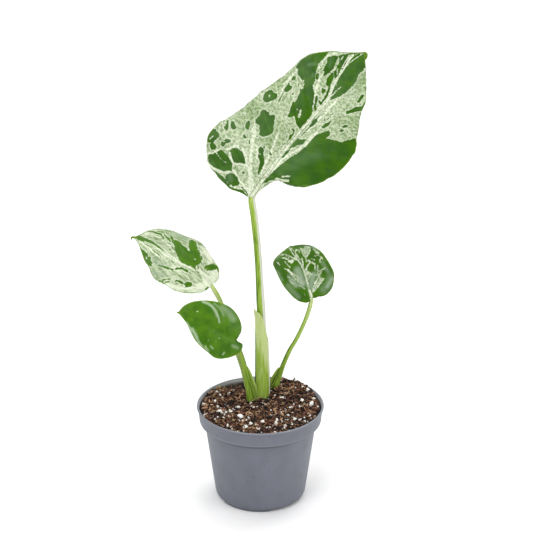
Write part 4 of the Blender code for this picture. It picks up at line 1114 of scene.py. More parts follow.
def bladeMaterial(name, face, spec):
    # the upper skin is glossy and full of colour, and the underside paler and more matte
    look = {**bladeLook["both"], **bladeLook[face]}
    material, tree, shader = newMaterial(name, look["rough"], look["shine"])
    _, field, creamy, toEdge = stored(tree, "marks")
    _, phase, spacing, beside = stored(tree, "veins")
    grain = stored(tree, "grain")[0]
    patches = useGroup(variegation, Field=field, Grain=grain, Jag=spec["jag"], Flecks=spec["flecks"],
                       Soft=spec["soft"])
    lines = useGroup(veinLines, Phase=phase, Spacing=spacing, Width=look["veinWidth"])
    clouds = useGroup(mottle, Grain=grain, Size=look["cloudSize"])

    green = blend(clouds["Cloud"], spec["green"], spec["deepGreen"])
    for share in (look["greenShare"], times(lines["Vein"], look["greenVeins"] * look["veins"]),
                  times(lines["Hairline"], look["hairlines"]), ramp(toEdge, *look["greenEdge"])):
        green = blend(share, green, look["lightGreen"])

    cells = plus(times(patches["Cells"], look["cells"]), times(clouds["Cloud"], 1 - look["cells"]))
    pale = blend(cells, look["sage"], look["pale"])
    creamy = times(creamy, plus(look["creamEven"], times(patches["Cells"], look["creamCells"])))
    for share in (creamy, times(lines["Vein"], look["veins"]), times(patches["Rim"], look["rim"])):
        pale = blend(share, pale, look["cream"])
    pale = blend(times(patches["Specks"], ramp(creamy, *look["speckRamp"])), pale, look["specks"])
    pale = blend(ramp(toEdge, *look["paleEdge"]), pale, look["edge"])
    if face == "front":  # fine lines along both sides of the midrib
        flank = ramp(sums("ABSOLUTE", minus(beside, 1.0)), *look["flank"])
        flank = times(flank, ramp(clouds["Fine"], *look["flankGaps"]))
        pale = blend(times(flank, spec["ribLines"][1]), pale, look["specks"])
    colour = blend(patches["Green"], pale, green)
    # painted reflections of the upper skin, as dull grey-green haze and pale sheen; in places also thinner
    # tissue
    mintAndSheen = blend(patches["Green"], look["paleMintAndSheen"], spec["mintAndSheen"])
    share = times(storedNumber(tree, "sheen"), ramp(clouds["Fine"], *look["mintAndSheenGaps"]))
    colour = blend(times(share, spec["mintAndSheenShare"]), colour, mintAndSheen)
    spread = times(minus(clouds["Cloud"], 0.5), look["roughSpread"])
    put(shader.inputs["Roughness"], plus(look["rough"], spread))
    dress(shader, colour, plus(clouds["Fine"], times(lines["Hairline"], look["bumpLines"])), *look["bump"])
    return material


for name, spec in blades.items():
    slotName = "green_leaf" if name == "leaf_lower_left" else "variegated_leaf"
    finishPiece(makeBlade(name, spec), slotName, name)


# Stalks: route and radii up to the blade, then a keel that runs on behind the blade's midrib
# Angles go round a stalk from the right over the front, so 90 faces the camera

stalkUsual = {
    "sides": 44, "rings": 190, "ribs": 9, "ribHeight": 0.10, "ribFade": (1.0, 3.0),
    "uneven": (0.05, 1.3, 21), "unevenRound": 3, "unevenAlong": 9, "endsOut": (0.3, 0.4), "soften": 15,
    "keelAt": (0.5, 7, 20, 42), "keelRadii": (2.5, 1.7, 1.15, 0.6), "keelBehind": 0.8, "keelPale": 0.3,
    # the side values paint shade along a stalk's left and right sides, as seen from the front
    "keelReach": (46, 30), "paleTop": 0.2, "paleReach": (110, 40), "sideShade": 0.0, "sideShadeFrom": 0.6,
    "allGreen": 4.0, "grainRound": 4, "grainAlong": 0.07, "wings": [],
}
stalks = {
    "petiole_large": {
        "blade": "leaf_large",
        "route": [(1.6, 18, 66), (1.5, 18, 92), (1.4, 18, 119), (1.0, 18.5, 147), (0.3, 19, 178),
                  (-0.9, 19.5, 203), (-2.7, 21, 238.5), (-5.6, 22.5, 271.5), (-8.0, 24.2, 288)],
        "radii": [5.0, 5.4, 5.2, 4.6, 4.0, 3.6, 3.3, 3.4, 3.3], "keelSize": 1.2,
        "tone": 0.36, "whiteFrom": -75, "whiteTo": 66, "rightToneAndLight": 0.22, "paleTop": 0.35,
    },
    "petiole_upper_left": {
        "blade": "leaf_upper_left",
        "route": [(-9.8, 27.5, 68), (-11.0, 27, 90), (-14.2, 26.5, 104), (-17.4, 26.5, 118),
                  (-22.5, 27, 135), (-29.3, 28, 160.5), (-37.6, 29.3, 186.5), (-43.6, 30.2, 198.5)],
        "radii": [2.4, 2.6, 2.4, 2.1, 2.0, 2.0, 2.1, 2.3], "keelSize": 0.62,
        "tone": 0.50, "rightToneAndLight": -0.16, "paleTop": 0.40, "paleReach": (150, 105),
    },
    "petiole_lower_left": {
        "blade": "leaf_lower_left",
        "route": [(-9.9, 12.5, 70), (-9.8, 12.2, 90), (-11.0, 11.8, 103.5), (-13.2, 11, 117.5),
                  (-16.6, 9.8, 134), (-19.8, 8.6, 146), (-21.6, 7.0, 152.5)],
        "radii": [3.6, 4.0, 3.4, 2.7, 2.3, 2.1, 2.0], "keelSize": 0.6,
        "tone": 0.30, "rightToneAndLight": -0.12, "sideShade": -0.22, "whiteFrom": 160, "whiteTo": 205,
        "wings": [
            {"from": 86, "to": 127, "reach": 5.6, "at": -20, "lean": 12, "bulge": 0.55, "tone": 0.62},
            {"from": 86, "to": 117, "reach": 4.2, "at": 50, "lean": -42, "bulge": 1.3, "tone": 0.40},
        ],
    },
    "petiole_right": {
        "blade": "leaf_right",
        "route": [(12.4, 28, 68), (12.5, 28, 90), (14.4, 27.6, 101), (17.9, 27, 113), (21.8, 26.5, 125),
                  (27.2, 26, 138.5), (32.8, 25.5, 149), (39.6, 24.5, 165), (44.3, 23.8, 179),
                  (46.4, 23.3, 188)],
        "radii": [3.5, 3.7, 3.0, 2.5, 2.2, 2.0, 1.9, 1.9, 1.9, 2.0], "keelSize": 0.62,
        "tone": 0.37, "rightToneAndLight": 0.22, "paleTop": 0.38, "sideShade": -0.42,
        "wings": [
            {"from": 86, "to": 117.5, "reach": 5.6, "at": 192, "lean": -6, "bulge": 0.42, "tone": 0.62},
            {"from": 86, "to": 114, "reach": 3.6, "at": 130, "lean": 42, "bulge": 1.2, "tone": 0.45},
        ],
    },
}
stalks = {name: {**stalkUsual, **own} for name, own in stalks.items()}

# The sheath round the large stalk, and the thin flaps of the smaller sheaths
sleeve = {
    "edge": [(-120, 152), (-60, 146), (0, 149), (30, 155), (51, 163), (76, 175), (100, 180.5), (125, 183),
             (150, 184), (175, 183.5), (200, 178), (225, 165)],  # top edge as (angle, height)
    "sides": 96, "rows": 90, "rowCrowd": 0.8, "edgeWaves": 5, "edgeWave": 0.5, "foot": 80,
    "reach": 1.85, "flare": 1.0, "flareHeights": (160, 187), "flareBelow": 16, "ribs": 11, "ribHeight": 0.10,
    "ribTurn": 0.03, "ribFade": 20, "thin": 0.35, "thick": 1.4, "thinTo": (2, 30),
    "tone": 0.58, "whiteFrom": -40, "whiteTo": 29, "paleTop": 0.74, "paleBelow": 54, "rim": (2.2, 0.2),
    "insideTone": 0.35, "insideField": 2, "insideGrain": 30, "grainRound": 6, "grainAlong": 0.07,
    # sectors from and to an angle, how softly they end, and how much lighter they are
    "dark": (160, 172, 20, -0.55), "lit": (20, 24, 10, 0.30), "shaded": (48, 56, 12, -0.10),
    "darkBelow": (6, 30),
}
wingShape = {
    "rows": 60, "columns": 14, "rootDepth": 0.72, "rootReach": 0.28, "widen": (-0.9, 0.35), "bow": 0.16,
    "thick": 0.75, "thinner": 0.58, "thinning": 0.7, "closing": 1.2, "least": 0.02,
    "rim": (0.72, 1.0), "toneRamp": (-0.2, 0.8), "field": 3.0, "grainAcross": 6, "grainAlong": 0.07,
}


def angleInside(angle, start, end):
    # how many degrees an angle lies inside a sector, below 0 outside it
    middle, half = (start + end) / 2, (end - start) / 2
    return half - np.abs((angle - middle + 180) % 360 - 180)


def whiteField(spec, angle, radius):
    # millimetres from the white sector, below 0 inside it
    return -np.radians(angleInside(angle, spec["whiteFrom"], spec["whiteTo"])) * radius


def stalkLine(spec):
    # centre line and radii, with the keel behind the blade
    bladeSpec = blades[spec["blade"]]
    joint, chord, axes = bladeAxes(bladeSpec)
    length = bladeSpec.get("length", chord)
    places = np.array(spec["keelAt"]) * (length / 100) ** 0.5 / length
    local = bladeSurface(bladeSpec, places, np.zeros(len(places)))[1]
    keelRadii = np.array(spec["keelRadii"]) * spec["keelSize"]
    local[:, 2] -= keelRadii + spec["keelBehind"]
    knots = np.concatenate([np.array(spec["route"], float) + plantShift, local @ axes + joint])
    route = smoothLine(knots, spec["rings"])
    reached = travel(knots)
    radii = np.interp(np.linspace(0, 1, len(route)), reached / reached[-1], [*spec["radii"], *keelRadii])
    window = np.hanning(spec["soften"]) / np.hanning(spec["soften"]).sum()
    return route, np.convolve(np.pad(radii, spec["soften"] // 2, "edge"), window, "valid")


def grainAround(turn, size, height):
    # places for noise that is drawn out along the stalk
    return np.stack(np.broadcast_arrays(size * np.cos(turn), size * np.sin(turn), height), -1).reshape(-1, 3)


def makeStalk(name, spec):
    line, radii = stalkLine(spec)
    along, right, back = lineFrame(line, [0.0, 1.0, 0.0])
    ahead = -back
    angle = np.linspace(0, 360, spec["sides"], endpoint=False)[None, :]
    turn = np.radians(angle)
    radius = radii[:, None]
    travelled = travel(line)[:, None]
    ribs = spec["ribHeight"] * np.cos(spec["ribs"] * turn) * ease(radius, *spec["ribFade"])
    places = grainAround(turn, spec["unevenRound"], travelled / spec["unevenAlong"])
    reach = radius * (1 + layered(places, spec["uneven"]).reshape(ribs.shape)) + ribs
    points = line[:, None] + headings(turn, right[:, None], ahead[:, None]) * reach[..., None]
    count = reach.size
    low, high = spec["endsOut"]
    ends = [line[:1] - low * along[:1], line[-1:] + high * along[-1:]]
    rows, sides = reach.shape
    faces = [gridFaces(rows, sides, closed=True), *capFaces(rows, sides, count, count + 1)]

    field = np.full(reach.shape, spec["allGreen"])
    if "whiteFrom" in spec:
        field = whiteField(spec, angle, radius)
    toTip = travelled[-1] - travelled
    # one side lighter than the other: partly the stalk's own colour, partly painted light
    tone = spec["tone"] + spec["rightToneAndLight"] * np.cos(turn)
    tone = tone + spec["paleTop"] * ease(toTip, *spec["paleReach"])
    # painted shade along the left and right sides, as seen from the front
    tone = tone + spec["sideShade"] * ease(np.abs(np.cos(turn)), spec["sideShadeFrom"], 1.0)
    tone = tone + spec["keelPale"] * ease(toTip, *spec["keelReach"])
    marks = np.stack([field, np.clip(tone, 0, 1), 0 * tone], -1).reshape(-1, 3)
    grain = grainAround(turn, spec["grainRound"], travelled * spec["grainAlong"])
    values = {key: np.concatenate([numbers, numbers[-1:], numbers[-1:]])
              for key, numbers in (("marks", marks), ("grain", grain))}
    parts = [(np.concatenate([points.reshape(-1, 3), *ends]), faces, values)]
    frames = np.concatenate([line, radius, right, ahead], 1)
    if name == "petiole_large":
        parts.append(makeSleeve(frames))
    parts += [sheathWing(wing, frames) for wing in spec["wings"]]
    points, faces, values = joined(parts)
    return makePiece(name + "_stalk", points, faces, [stalkSkin], values)


def crossing(rows, height):
    # a stalk's values where it rises past a height, which is the third of them
    rising = rows[: int(np.argmax(rows[:, 2]))]
    return np.stack([np.interp(height, rising[:, 2], column) for column in rising.T], -1)


def atHeight(frames, height):
    # a stalk's middle, radius and directions to the right and front at a height
    here = crossing(frames, height)
    return here[..., :3], here[..., 3], here[..., 4:7], here[..., 7:]


def makeSleeve(frames):
    # a thin open collar whose top edge slopes from left to right
    sides, rows = sleeve["sides"], sleeve["rows"]
    angle = np.linspace(0, 360, sides, endpoint=False)[None, :]
    turn = np.radians(angle)
    edgeAngles, edgeHeights = zip(*sleeve["edge"])
    first = edgeAngles[0]
    closing = [*edgeAngles, first + 360], [*edgeHeights, edgeHeights[0]]
    top = np.interp((angle - first) % 360 + first, *closing)
    top += sleeve["edgeWave"] * np.sin(turn * sleeve["edgeWaves"])
    share = np.linspace(0, 1, rows)[:, None] ** sleeve["rowCrowd"]
    height = sleeve["foot"] + (top - sleeve["foot"]) * share
    below = top - height
    centre, radius, right, ahead = atHeight(frames, height)
    heading = headings(turn, right, ahead)
    lip = ease(top, *sleeve["flareHeights"]) * ease(below, sleeve["flareBelow"], 0)
    outer = radius + sleeve["reach"] + sleeve["flare"] * lip
    ribTurn = sleeve["ribs"] * turn + sleeve["ribTurn"] * height
    outer = outer + sleeve["ribHeight"] * np.cos(ribTurn) * ease(below, 0, sleeve["ribFade"])
    inner = outer - sleeve["thin"] - (sleeve["thick"] - sleeve["thin"]) * ease(below, *sleeve["thinTo"])
    points = np.concatenate([(centre + heading * size[..., None]).reshape(-1, 3) for size in (outer, inner)])
    count = rows * sides
    ring = np.append(np.arange(sides), 0)
    last = ring + count - sides
    faces = [
        gridFaces(rows, sides, closed=True), gridFaces(rows, sides, count, closed=True)[:, ::-1],
        stripFaces(last, last + count), stripFaces(ring + count, ring),
    ]
    field = whiteField(sleeve, angle, outer)
    tone = sleeve["tone"] + sleeve["paleTop"] * ease(below, sleeve["paleBelow"], 0)
    for key, depth in (("dark", ease(below, *sleeve["darkBelow"])), ("lit", 1), ("shaded", 1)):
        start, end, fade, lighter = sleeve[key]
        tone = tone + lighter * bell(angleInside(angle, start, end), fade) * depth
    rim = ease(below, *sleeve["rim"])
    outside = np.stack([field, np.clip(tone, 0, 1), rim], -1)
    inside = np.stack([field + sleeve["insideField"], np.clip(tone + sleeve["insideTone"], 0, 1), rim], -1)
    grain = grainAround(turn, sleeve["grainRound"], height * sleeve["grainAlong"])
    return points, faces, {"marks": np.concatenate([outside, inside]).reshape(-1, 3),
                           "grain": np.concatenate([grain, grain + sleeve["insideGrain"]])}


def sheathWing(spec, frames):
    # one thin flap of a smaller sheath, which leaves the stalk's side and ends in a pale free margin
    shape = wingShape
    rows, columns = shape["rows"], shape["columns"]
    height = np.linspace(spec["from"], spec["to"], rows)[:, None]
    centre, radius, right, ahead = atHeight(frames, height)
    share = (height - spec["from"]) / (spec["to"] - spec["from"])
    reach = spec["reach"] * (1 - share) ** spec["bulge"] * ease(share, *shape["widen"])
    full = reach + shape["rootReach"] * radius
    at, lean = np.radians(spec["at"]), np.radians(spec["at"] + spec["lean"])
    root = centre + headings(at, right, ahead) * shape["rootDepth"] * radius[..., None]
    side, face = headings(lean, right, ahead), headings(lean + np.pi / 2, right, ahead)
    step = np.linspace(0, 1, columns)[None, :]
    bow = shape["bow"] * full * np.sin(np.pi * step) * np.sign(spec["lean"])
    sheet = root + side * (full * step)[..., None] + face * bow[..., None]
    half = (shape["thick"] - shape["thinner"] * step ** shape["thinning"]) / 2
    half = (half * ease(full, 0.0, shape["closing"]) + shape["least"])[..., None]
    points = np.concatenate([(sheet + face * half).reshape(-1, 3), (sheet - face * half).reshape(-1, 3)])
    count = rows * columns
    column, foot = np.arange(rows) * columns, np.arange(columns)
    tip, end = foot + count - columns, column + columns - 1
    faces = [gridFaces(rows, columns), gridFaces(rows, columns, count)[:, ::-1]]
    faces += [stripFaces(edge, edge + count) for edge in (end, column[::-1], foot[::-1], tip)]
    rim = ease(step, *shape["rim"])
    tone = spec["tone"] * ease(step, *shape["toneRamp"])
    marks = np.stack(np.broadcast_arrays(shape["field"] + 0 * full, tone, rim), -1).reshape(-1, 3)
    grain = np.broadcast_arrays(shape["grainAcross"] * step, spec["at"], height * shape["grainAlong"])
    grain = np.stack(grain, -1).reshape(-1, 3)
    return points, faces, {"marks": np.concatenate([marks] * 2), "grain": np.concatenate([grain] * 2)}


stalkLook = {
    "green": (88, 132, 16), "yellowGreen": (178, 214, 80), "pale": (228, 244, 164), "white": (246, 250, 226),
    "deep": (84, 126, 20), "rough": 0.38, "shine": 0.16, "jag": 0.35, "soft": 0.2, "streakSize": 1.1,
    "streak": 0.42, "fineRamp": (0.52, 0.68, 0.0, 0.32), "rim": 0.75, "bump": (0.10, 0.6),
}


def stalkMaterial():
    look = stalkLook
    material, tree, shader = newMaterial("stalk_skin", look["rough"], look["shine"])
    _, field, tone, rim = stored(tree, "marks")
    grain = stored(tree, "grain")[0]
    patches = useGroup(variegation, Field=field, Grain=grain, Jag=look["jag"], Flecks=0.0, Soft=look["soft"])
    streaks = useGroup(mottle, Grain=grain, Size=look["streakSize"])
    shade = plus(tone, times(minus(streaks["Cloud"], 0.5), look["streak"]))
    green = blend(ramp(shade, 0.0, 0.5), look["green"], look["yellowGreen"])
    green = blend(ramp(shade, 0.5, 1.0), green, look["pale"])
    green = blend(ramp(streaks["Fine"], *look["fineRamp"]), green, look["deep"])
    colour = blend(patches["Green"], look["white"], green)
    dress(shader, blend(times(rim, look["rim"]), colour, look["pale"]), streaks["Fine"], *look["bump"])
    return material


stalkSkin = stalkMaterial()
for name, spec in stalks.items():
    finishPiece(makeStalk(name, spec), "stalk_skin", name)


# Shred of old sheath across the stalks' foot

shred = {
    "route": [(-10.5, 6.2, 91.6), (-8, 6.0, 93.2), (-4.5, 6.6, 94.8), (-0.5, 8.0, 95.8), (3.5, 8.4, 95.4),
              (6.6, 9.2, 93.6), (7.6, 10.8, 91.2)],
    "points": 60, "sides": 14, "radius": 0.75, "thinnest": 0.35, "fullness": 0.6, "flat": 0.6,
    "uneven": (0.2, 17), "tint": (196, 206, 110), "dark": (128, 132, 60), "rough": 0.5, "cloudSize": 2.5,
    "bump": 0.15,
}


def makeShred():
    material, tree, shader = newMaterial("old_sheath", shred["rough"])
    clouds = useGroup(mottle, Grain=stored(tree, "grain")[0], Size=shred["cloudSize"])
    dress(shader, blend(clouds["Cloud"], shred["tint"], shred["dark"]), clouds["Fine"], shred["bump"])
    line = smoothLine(shred["route"], shred["points"])
    share = np.linspace(0, 1, len(line))
    radii = shred["thinnest"] + (1 - shred["thinnest"]) * np.sin(np.pi * share) ** shred["fullness"]
    depth, waves = shred["uneven"]
    radii *= shred["radius"] * (1 + depth * np.sin(waves * share))
    points, faces = tubeRound(line, radii, shred["sides"], shred["flat"])
    return makePiece("old_sheath_shred", points, faces, [material], {"grain": points})


finishPiece(makeShred(), "stalk_skin")


# Pot: the profile of its wall, turned about its axis; heights and radii as the frame's pot

pot = {
    "rim": 59.7, "height": 93.0, "collarDrop": 15.3, "collarFoot": 57.2, "bodyTop": 52.2, "bodyFoot": 43.1,
    "wall": 1.2, "foot": 40.2, "footWidth": 2.4, "footHeight": 1.9, "pad": 9.0, "floor": 1.4,
    "steps": 288, "stepLength": 1.6, "sharpest": 50,
    "footGaps": 3, "gapAngle": 50, "firstGap": -77, "gapPoints": 13, "gapInside": 3, "gapOutside": 6,
    "gapTop": 0.15, "drains": 6, "drainRadius": 3.6, "drainCircle": 27.0, "drainPoints": 40, "drainTop": 6.0,
    "cutFrom": -1.0,
    # the dust colour is dust from the mix, and low on the inner wall also painted shade
    "tint": (123, 127, 140), "light": (130, 134, 147), "dark": (110, 114, 126), "dustAndShade": (84, 66, 52),
    # the crease colour is painted shade with some dirt, and the edge colour a painted highlight on the collar
    # the inner colour is painted near white, as light against the shade inside the pot
    # the lip colour is a painted highlight along the top of the rim
    "inner": (252, 255, 258), "lip": (150, 154, 163), "creaseShadeAndDirt": (74, 74, 82), "edge": (140, 145, 156),
    "rough": 0.48, "shine": 0.45, "roughMore": 0.12, "bump": (0.10, 0.5), "scuffBump": 0.4,
    "cloudSize": 16.0, "gritSize": 3.0, "scuffs": (0.09, 5.0, 0.75), "scuffRamp": (0.60, 0.68),
    "scuffShare": 0.35,
    "dustClouds": 0.25, "dustRamp": (0.42, 0.58),
    # heights between which an effect comes and goes
    "lipHighlightFrom": (91.5, 92.5, 0.0, 0.8), "shadeAndDirtFrom": (73.0, 75.4, 0.0, 0.8), "shadeAndDirtTo": (77.4, 77.0),
    "edgeHighlightFrom": (77.4, 77.8), "edgeHighlightTo": (80.2, 78.6, 0.0, 0.7), "dustAndShadeFrom": (91.8, 87.5, 0.05, 1.0),
    # the moulding mark: where it is, how it fades, and how far in front of the pot's middle it shows
    "pip": (-39.3, 82.5), "pipTint": (62, 64, 70), "pipRamp": (1.5, 0.6, 0.0, 0.6),
    "pipFront": (-20.0, -30.0),
}


def potProfile():
    # inner side from the floor's middle up, the lip, and the outer side down to the foot
    def beside(radius, height, *offsets):
        return [(radius + across, height + up) for across, up in offsets]

    rim, collar, top, low = pot["rim"], pot["collarFoot"], pot["bodyTop"], pot["bodyFoot"]
    lip, step, wall = pot["height"], pot["height"] - pot["collarDrop"], pot["wall"]
    under, width = pot["footHeight"], pot["footWidth"]
    floorTop = under + pot["floor"]
    inner = [
        (0, floorTop), *beside(low - wall, floorTop, (-2.4, 0), (-1.0, 0.5), (-0.3, 2.0)),
        *beside(top - wall, step, (0, -2.4), (0.25, -1.0)),
        *beside(collar - wall, step, (-0.6, 0.5), (-0.1, 1.4), (0.1, 2.4)),
        *beside(rim - wall, lip, (-1.0, -3.0), (-0.85, -1.2), (-0.75, -0.5), (-0.45, -0.12)),
    ]
    outer = [
        *beside(rim, lip, (-1.25, 0), (-0.75, -0.02), (-0.32, -0.2), (-0.07, -0.55), (0, -1.0),
                (-0.05, -1.5), (-0.22, -1.9), (-0.6, -2.15), (-1.3, -2.7)),
        *beside(collar, step, (0.2, 1.5), (0, 0.8), (-0.15, 0.35), (-0.6, -0.05), (-1.2, -0.3)),
        *beside(top, step, (1.4, -1.0), (0.5, -1.4), (0.1, -2.2), (-0.1, -4.2)),
        *beside(low, 0, (0.2, 8.5), (0, 6.5), (-0.3, 4.9), (-0.85, 3.6), (-1.7, 2.6), (-2.5, 2.05)),
        *beside(pot["foot"], 0, (0.1, under - 0.1), (0, 0.25), (-0.25, 0), (0.25 - width, 0), (-width, 0.25),
                (-width - 0.2, under)),
        *beside(pot["pad"], 0, (1.2, under), (0.5, under - 0.2), (0, 0.2), (-0.3, 0)), (0, 0),
    ]
    return inner, outer


def denseProfile(points):
    # a profile with its long stretches cut up, so that stored values follow it closely
    rows = []
    for start, end in zip(points, points[1:]):
        count = max(1, int(math.dist(start, end) / pot["stepLength"]))
        rows += [np.array(start) + (np.array(end) - start) * step / count for step in range(count)]
    return np.array([*rows, points[-1]])


def arc(middle, radius, angles):
    return [(middle[0] + radius * math.cos(angle), middle[1] + radius * math.sin(angle)) for angle in angles]


def prism(name, outline, low, high):
    count = len(outline)
    points = np.array([(x, y, z) for z in (low, high) for x, y in outline])
    around = np.arange(count)
    after = (around + 1) % count
    sides = np.stack([around, after, after + count, around + count], -1)
    mesh = bpy.data.meshes.new(name)
    faces = [*sides.tolist(), list(range(count))[::-1], list(range(count, 2 * count))]
    mesh.from_pydata((points * mm).tolist(), [], faces)
    return addToScene(name, mesh)


def cutWith(piece, cutters):
    for cutter in cutters:
        modifier = piece.modifiers.new(cutter.name, "BOOLEAN")
        modifier.operation = "DIFFERENCE"
        modifier.object = cutter
    bpy.context.view_layer.update()
    cut = bpy.data.meshes.new_from_object(piece.evaluated_get(bpy.context.evaluated_depsgraph_get()))
    piece.modifiers.clear()
    piece.data = cut
    for cutter in cutters:
        bpy.data.objects.remove(cutter, do_unlink=True)


def makePot():
    inner, outer = potProfile()
    profile = denseProfile(inner + outer)
    points = turned(profile, pot["steps"])
    inside = np.zeros(len(points))
    inside[: len(denseProfile(inner)) * pot["steps"]] = 1.0
    piece = makePiece("nursery_pot_shell", points, [gridFaces(len(profile), pot["steps"], closed=True)],
                      [potMaterial()], {"grain": points, "inside": inside}, None, pot["sharpest"])
    cutters = []
    near, far = pot["foot"] - pot["footWidth"] - pot["gapInside"], pot["foot"] + pot["gapOutside"]
    for index in range(pot["footGaps"]):
        start = pot["firstGap"] + index * 360 / pot["footGaps"]
        angles = np.radians(start + np.linspace(0, pot["gapAngle"], pot["gapPoints"]))
        outline = arc((0, 0), far, angles) + arc((0, 0), near, angles[::-1])
        cutters.append(prism(f"footGap{index}", outline, pot["cutFrom"], pot["footHeight"] - pot["gapTop"]))
    around = np.linspace(0, 2 * math.pi, pot["drainPoints"], endpoint=False)
    for index in range(pot["drains"]):
        (middle,) = arc((0, 0), pot["drainCircle"], [(index + 0.5) * 2 * math.pi / pot["drains"]])
        outline = arc(middle, pot["drainRadius"], around)
        cutters.append(prism(f"drain{index}", outline, pot["cutFrom"], pot["drainTop"]))
    cutWith(piece, cutters)
    shadeSmooth(piece.data, pot["sharpest"])
    return piece


def potMaterial():
    material, tree, shader = newMaterial("pot_plastic", pot["rough"], pot["shine"])
    place, x, y, z = stored(tree, "grain")
    inside = storedNumber(tree, "inside")
    clouds = useGroup(mottle, Grain=place, Size=pot["cloudSize"])
    grit = useGroup(mottle, Grain=place, Size=pot["gritSize"])
    scuff = ramp(noise(place, *pot["scuffs"]), *pot["scuffRamp"])
    colour = blend(clouds["Cloud"], pot["tint"], pot["light"])
    colour = blend(times(scuff, pot["scuffShare"]), colour, pot["dark"])
    # the inner wall, painted near white as light against the shade inside the pot
    colour = blend(inside, colour, pot["inner"])
    # a painted highlight along the top of the lip
    colour = blend(ramp(z, *pot["lipHighlightFrom"]), colour, pot["lip"])
    # painted shade with some dirt under the collar's step, and a painted highlight along the collar's lower
    # edge
    colour = blend(times(ramp(z, *pot["shadeAndDirtFrom"]), ramp(z, *pot["shadeAndDirtTo"])), colour, pot["creaseShadeAndDirt"])
    collarEdgeHighlight = times(ramp(z, *pot["edgeHighlightFrom"]), ramp(z, *pot["edgeHighlightTo"]))
    colour = blend(times(collarEdgeHighlight, minus(1.0, inside)), colour, pot["edge"])
    # a small moulding mark on the collar
    away = plus(*[sums("ABSOLUTE", minus(value, at)) for value, at in zip((x, z), pot["pip"])])
    mark = times(ramp(y, *pot["pipFront"]), ramp(away, *pot["pipRamp"]))
    colour = blend(mark, colour, pot["pipTint"])
    # dust from the mix inside the wall, thickest low down, where it is also painted shade
    dustAndShadeShare = ramp(plus(grit["Fine"], times(clouds["Cloud"], pot["dustClouds"])), *pot["dustRamp"])
    dustAndShadeShare = times(dustAndShadeShare, times(inside, ramp(z, *pot["dustAndShadeFrom"])))
    put(shader.inputs["Roughness"], plus(pot["rough"], times(plus(scuff, inside), pot["roughMore"])))
    height = plus(grit["Fine"], times(scuff, pot["scuffBump"]))
    dress(shader, blend(dustAndShadeShare, colour, pot["dustAndShade"]), height, *pot["bump"])
    return material


finishPiece(makePot(), "pot_plastic", "nursery_pot")


# Potting mix: a bed with the frame's heap and dip, and thousands of shreds, crumbs, fibres and grains on it

mix = {
    "top": 88.0, "dome": 2.6, "edge": 56.4, "rings": 96, "ringCrowd": 0.75, "steps": 256, "inWall": 0.35,
    "skirtFrom": 8, "sharpest": 180, "seed": 7, "surface": 91.0, "stalkClear": 0.6,
    # heap, dip and rise: height, place and spread
    "hills": ((7.0, (32.0, 32.0), 25.0), (-4.5, (-20.0, 46.0), 14.0), (3.4, (-50.0, 22.0), 17.0)),
    # unevenness and clumps of shade: height, size and seed
    "lumps": ((1.3, 9.0, 40), (1.0, 4.0, 41), (0.7, 1.7, 42)),
    "clumps": ((0.22, 9.0, 61), (0.10, 4.0, 62)), "bedShade": 0.04, "bedGrain": (0.12, 2.5, 3),
    "flakeRings": 7, "flakeSides": 6, "flakeEnd": (0.03, 1.03), "spacing": 17.3, "bumpSize": 0.8,
}
scattered = {
    "peat_shreds": {
        "count": 1500, "length": (2.0, 6.8), "width": (0.6, 1.6), "thick": (0.4, 1.0), "lift": (0.2, 2.4),
        "shade": (-0.12, 1.02), "inset": 3.0, "tilt": 0.38, "rough": 0.35, "seed": 51, "sharpest": 40,
    },
    "peat_threads": {
        "count": 900, "length": (2.0, 6.5), "width": (0.35, 0.8), "thick": (0.3, 0.6), "lift": (0.8, 2.8),
        "shade": (-0.12, 1.24), "inset": 3.0, "tilt": 0.38, "rough": 0.35, "seed": 51, "sharpest": 40,
    },
    "bark_crumbs": {
        "count": 1100, "size": (0.8, 2.6), "long": (0.9, 1.8), "flat": (0.6, 1), "lift": (0.0, 1.6),
        "shade": (-0.12, 0.95), "inset": 1.6, "tilt": 0.6, "rough": 0.55, "seed": 52, "sharpest": 40,
    },
    "coir_fibres": {
        "count": 380, "length": (4, 14), "radius": (0.12, 0.24), "bend": 0.9, "rise": (0.2, 2.2),
        "lift": (0.3, 0.8), "shade": (0.2, 1.15), "inset": 3, "clear": 0.8, "points": 9, "sides": 5,
    },
    "perlite_grains": {
        "count": 130, "size": (0.35, 0.95), "inset": 2.0, "frontward": 0.75, "tilt": 0.6, "rough": 0.7,
        "seed": 53, "sharpest": 50,
        # the larger grains of the photo: x, y and radius
        "listed": [
            (-53, 3, 1.3), (-41, 25, 1.0), (-36, 12, 0.7), (-38, -13, 1.7), (-36, -16, 1.3),
            (-40, -3, 1.0), (-45, -12, 0.8), (-28, -13, 1.2), (-24, -11, 0.7), (-21, -6, 1.2),
            (-34, -24, 0.6), (-18, -26, 1.8), (-11, -24, 1.0), (-16, -31, 1.0), (-19, -33, 0.7),
            (-9, -36, 1.3), (-13, -30, 1.0), (-13, -43, 1.2), (-4, -38, 1.1), (-9, 3, 1.0),
            (-6, -6, 1.0), (2, -34, 1.0), (6, -44, 0.9), (9, -41, 0.7), (14, -38, 1.6), (16, -32, 1.4),
            (20, -33, 0.6), (23, -40, 1.0), (32, -28, 1.6), (30, -17, 0.8), (28, -9, 0.8),
            (10, -10, 0.9), (20, 7, 1.6), (39, 3, 1.5), (48, -2, 1.8), (51, 12, 1.0), (45, 23, 1.4),
            (40, 26, 1.0), (54, -2, 0.8), (46, -20, 0.9), (-30, -38, 0.8),
        ],
    },
    "tan_chips": {
        "count": 55, "size": (0.4, 0.9), "inset": 2.0, "tilt": 0.6, "rough": 0.7, "seed": 53, "sharpest": 50,
        "listed": [(-40, 36, 2.2), (-44, 17, 1.4), (-10, -16, 1.0), (-25, -30, 1.0), (3, -41, 1.1)],
    },
}
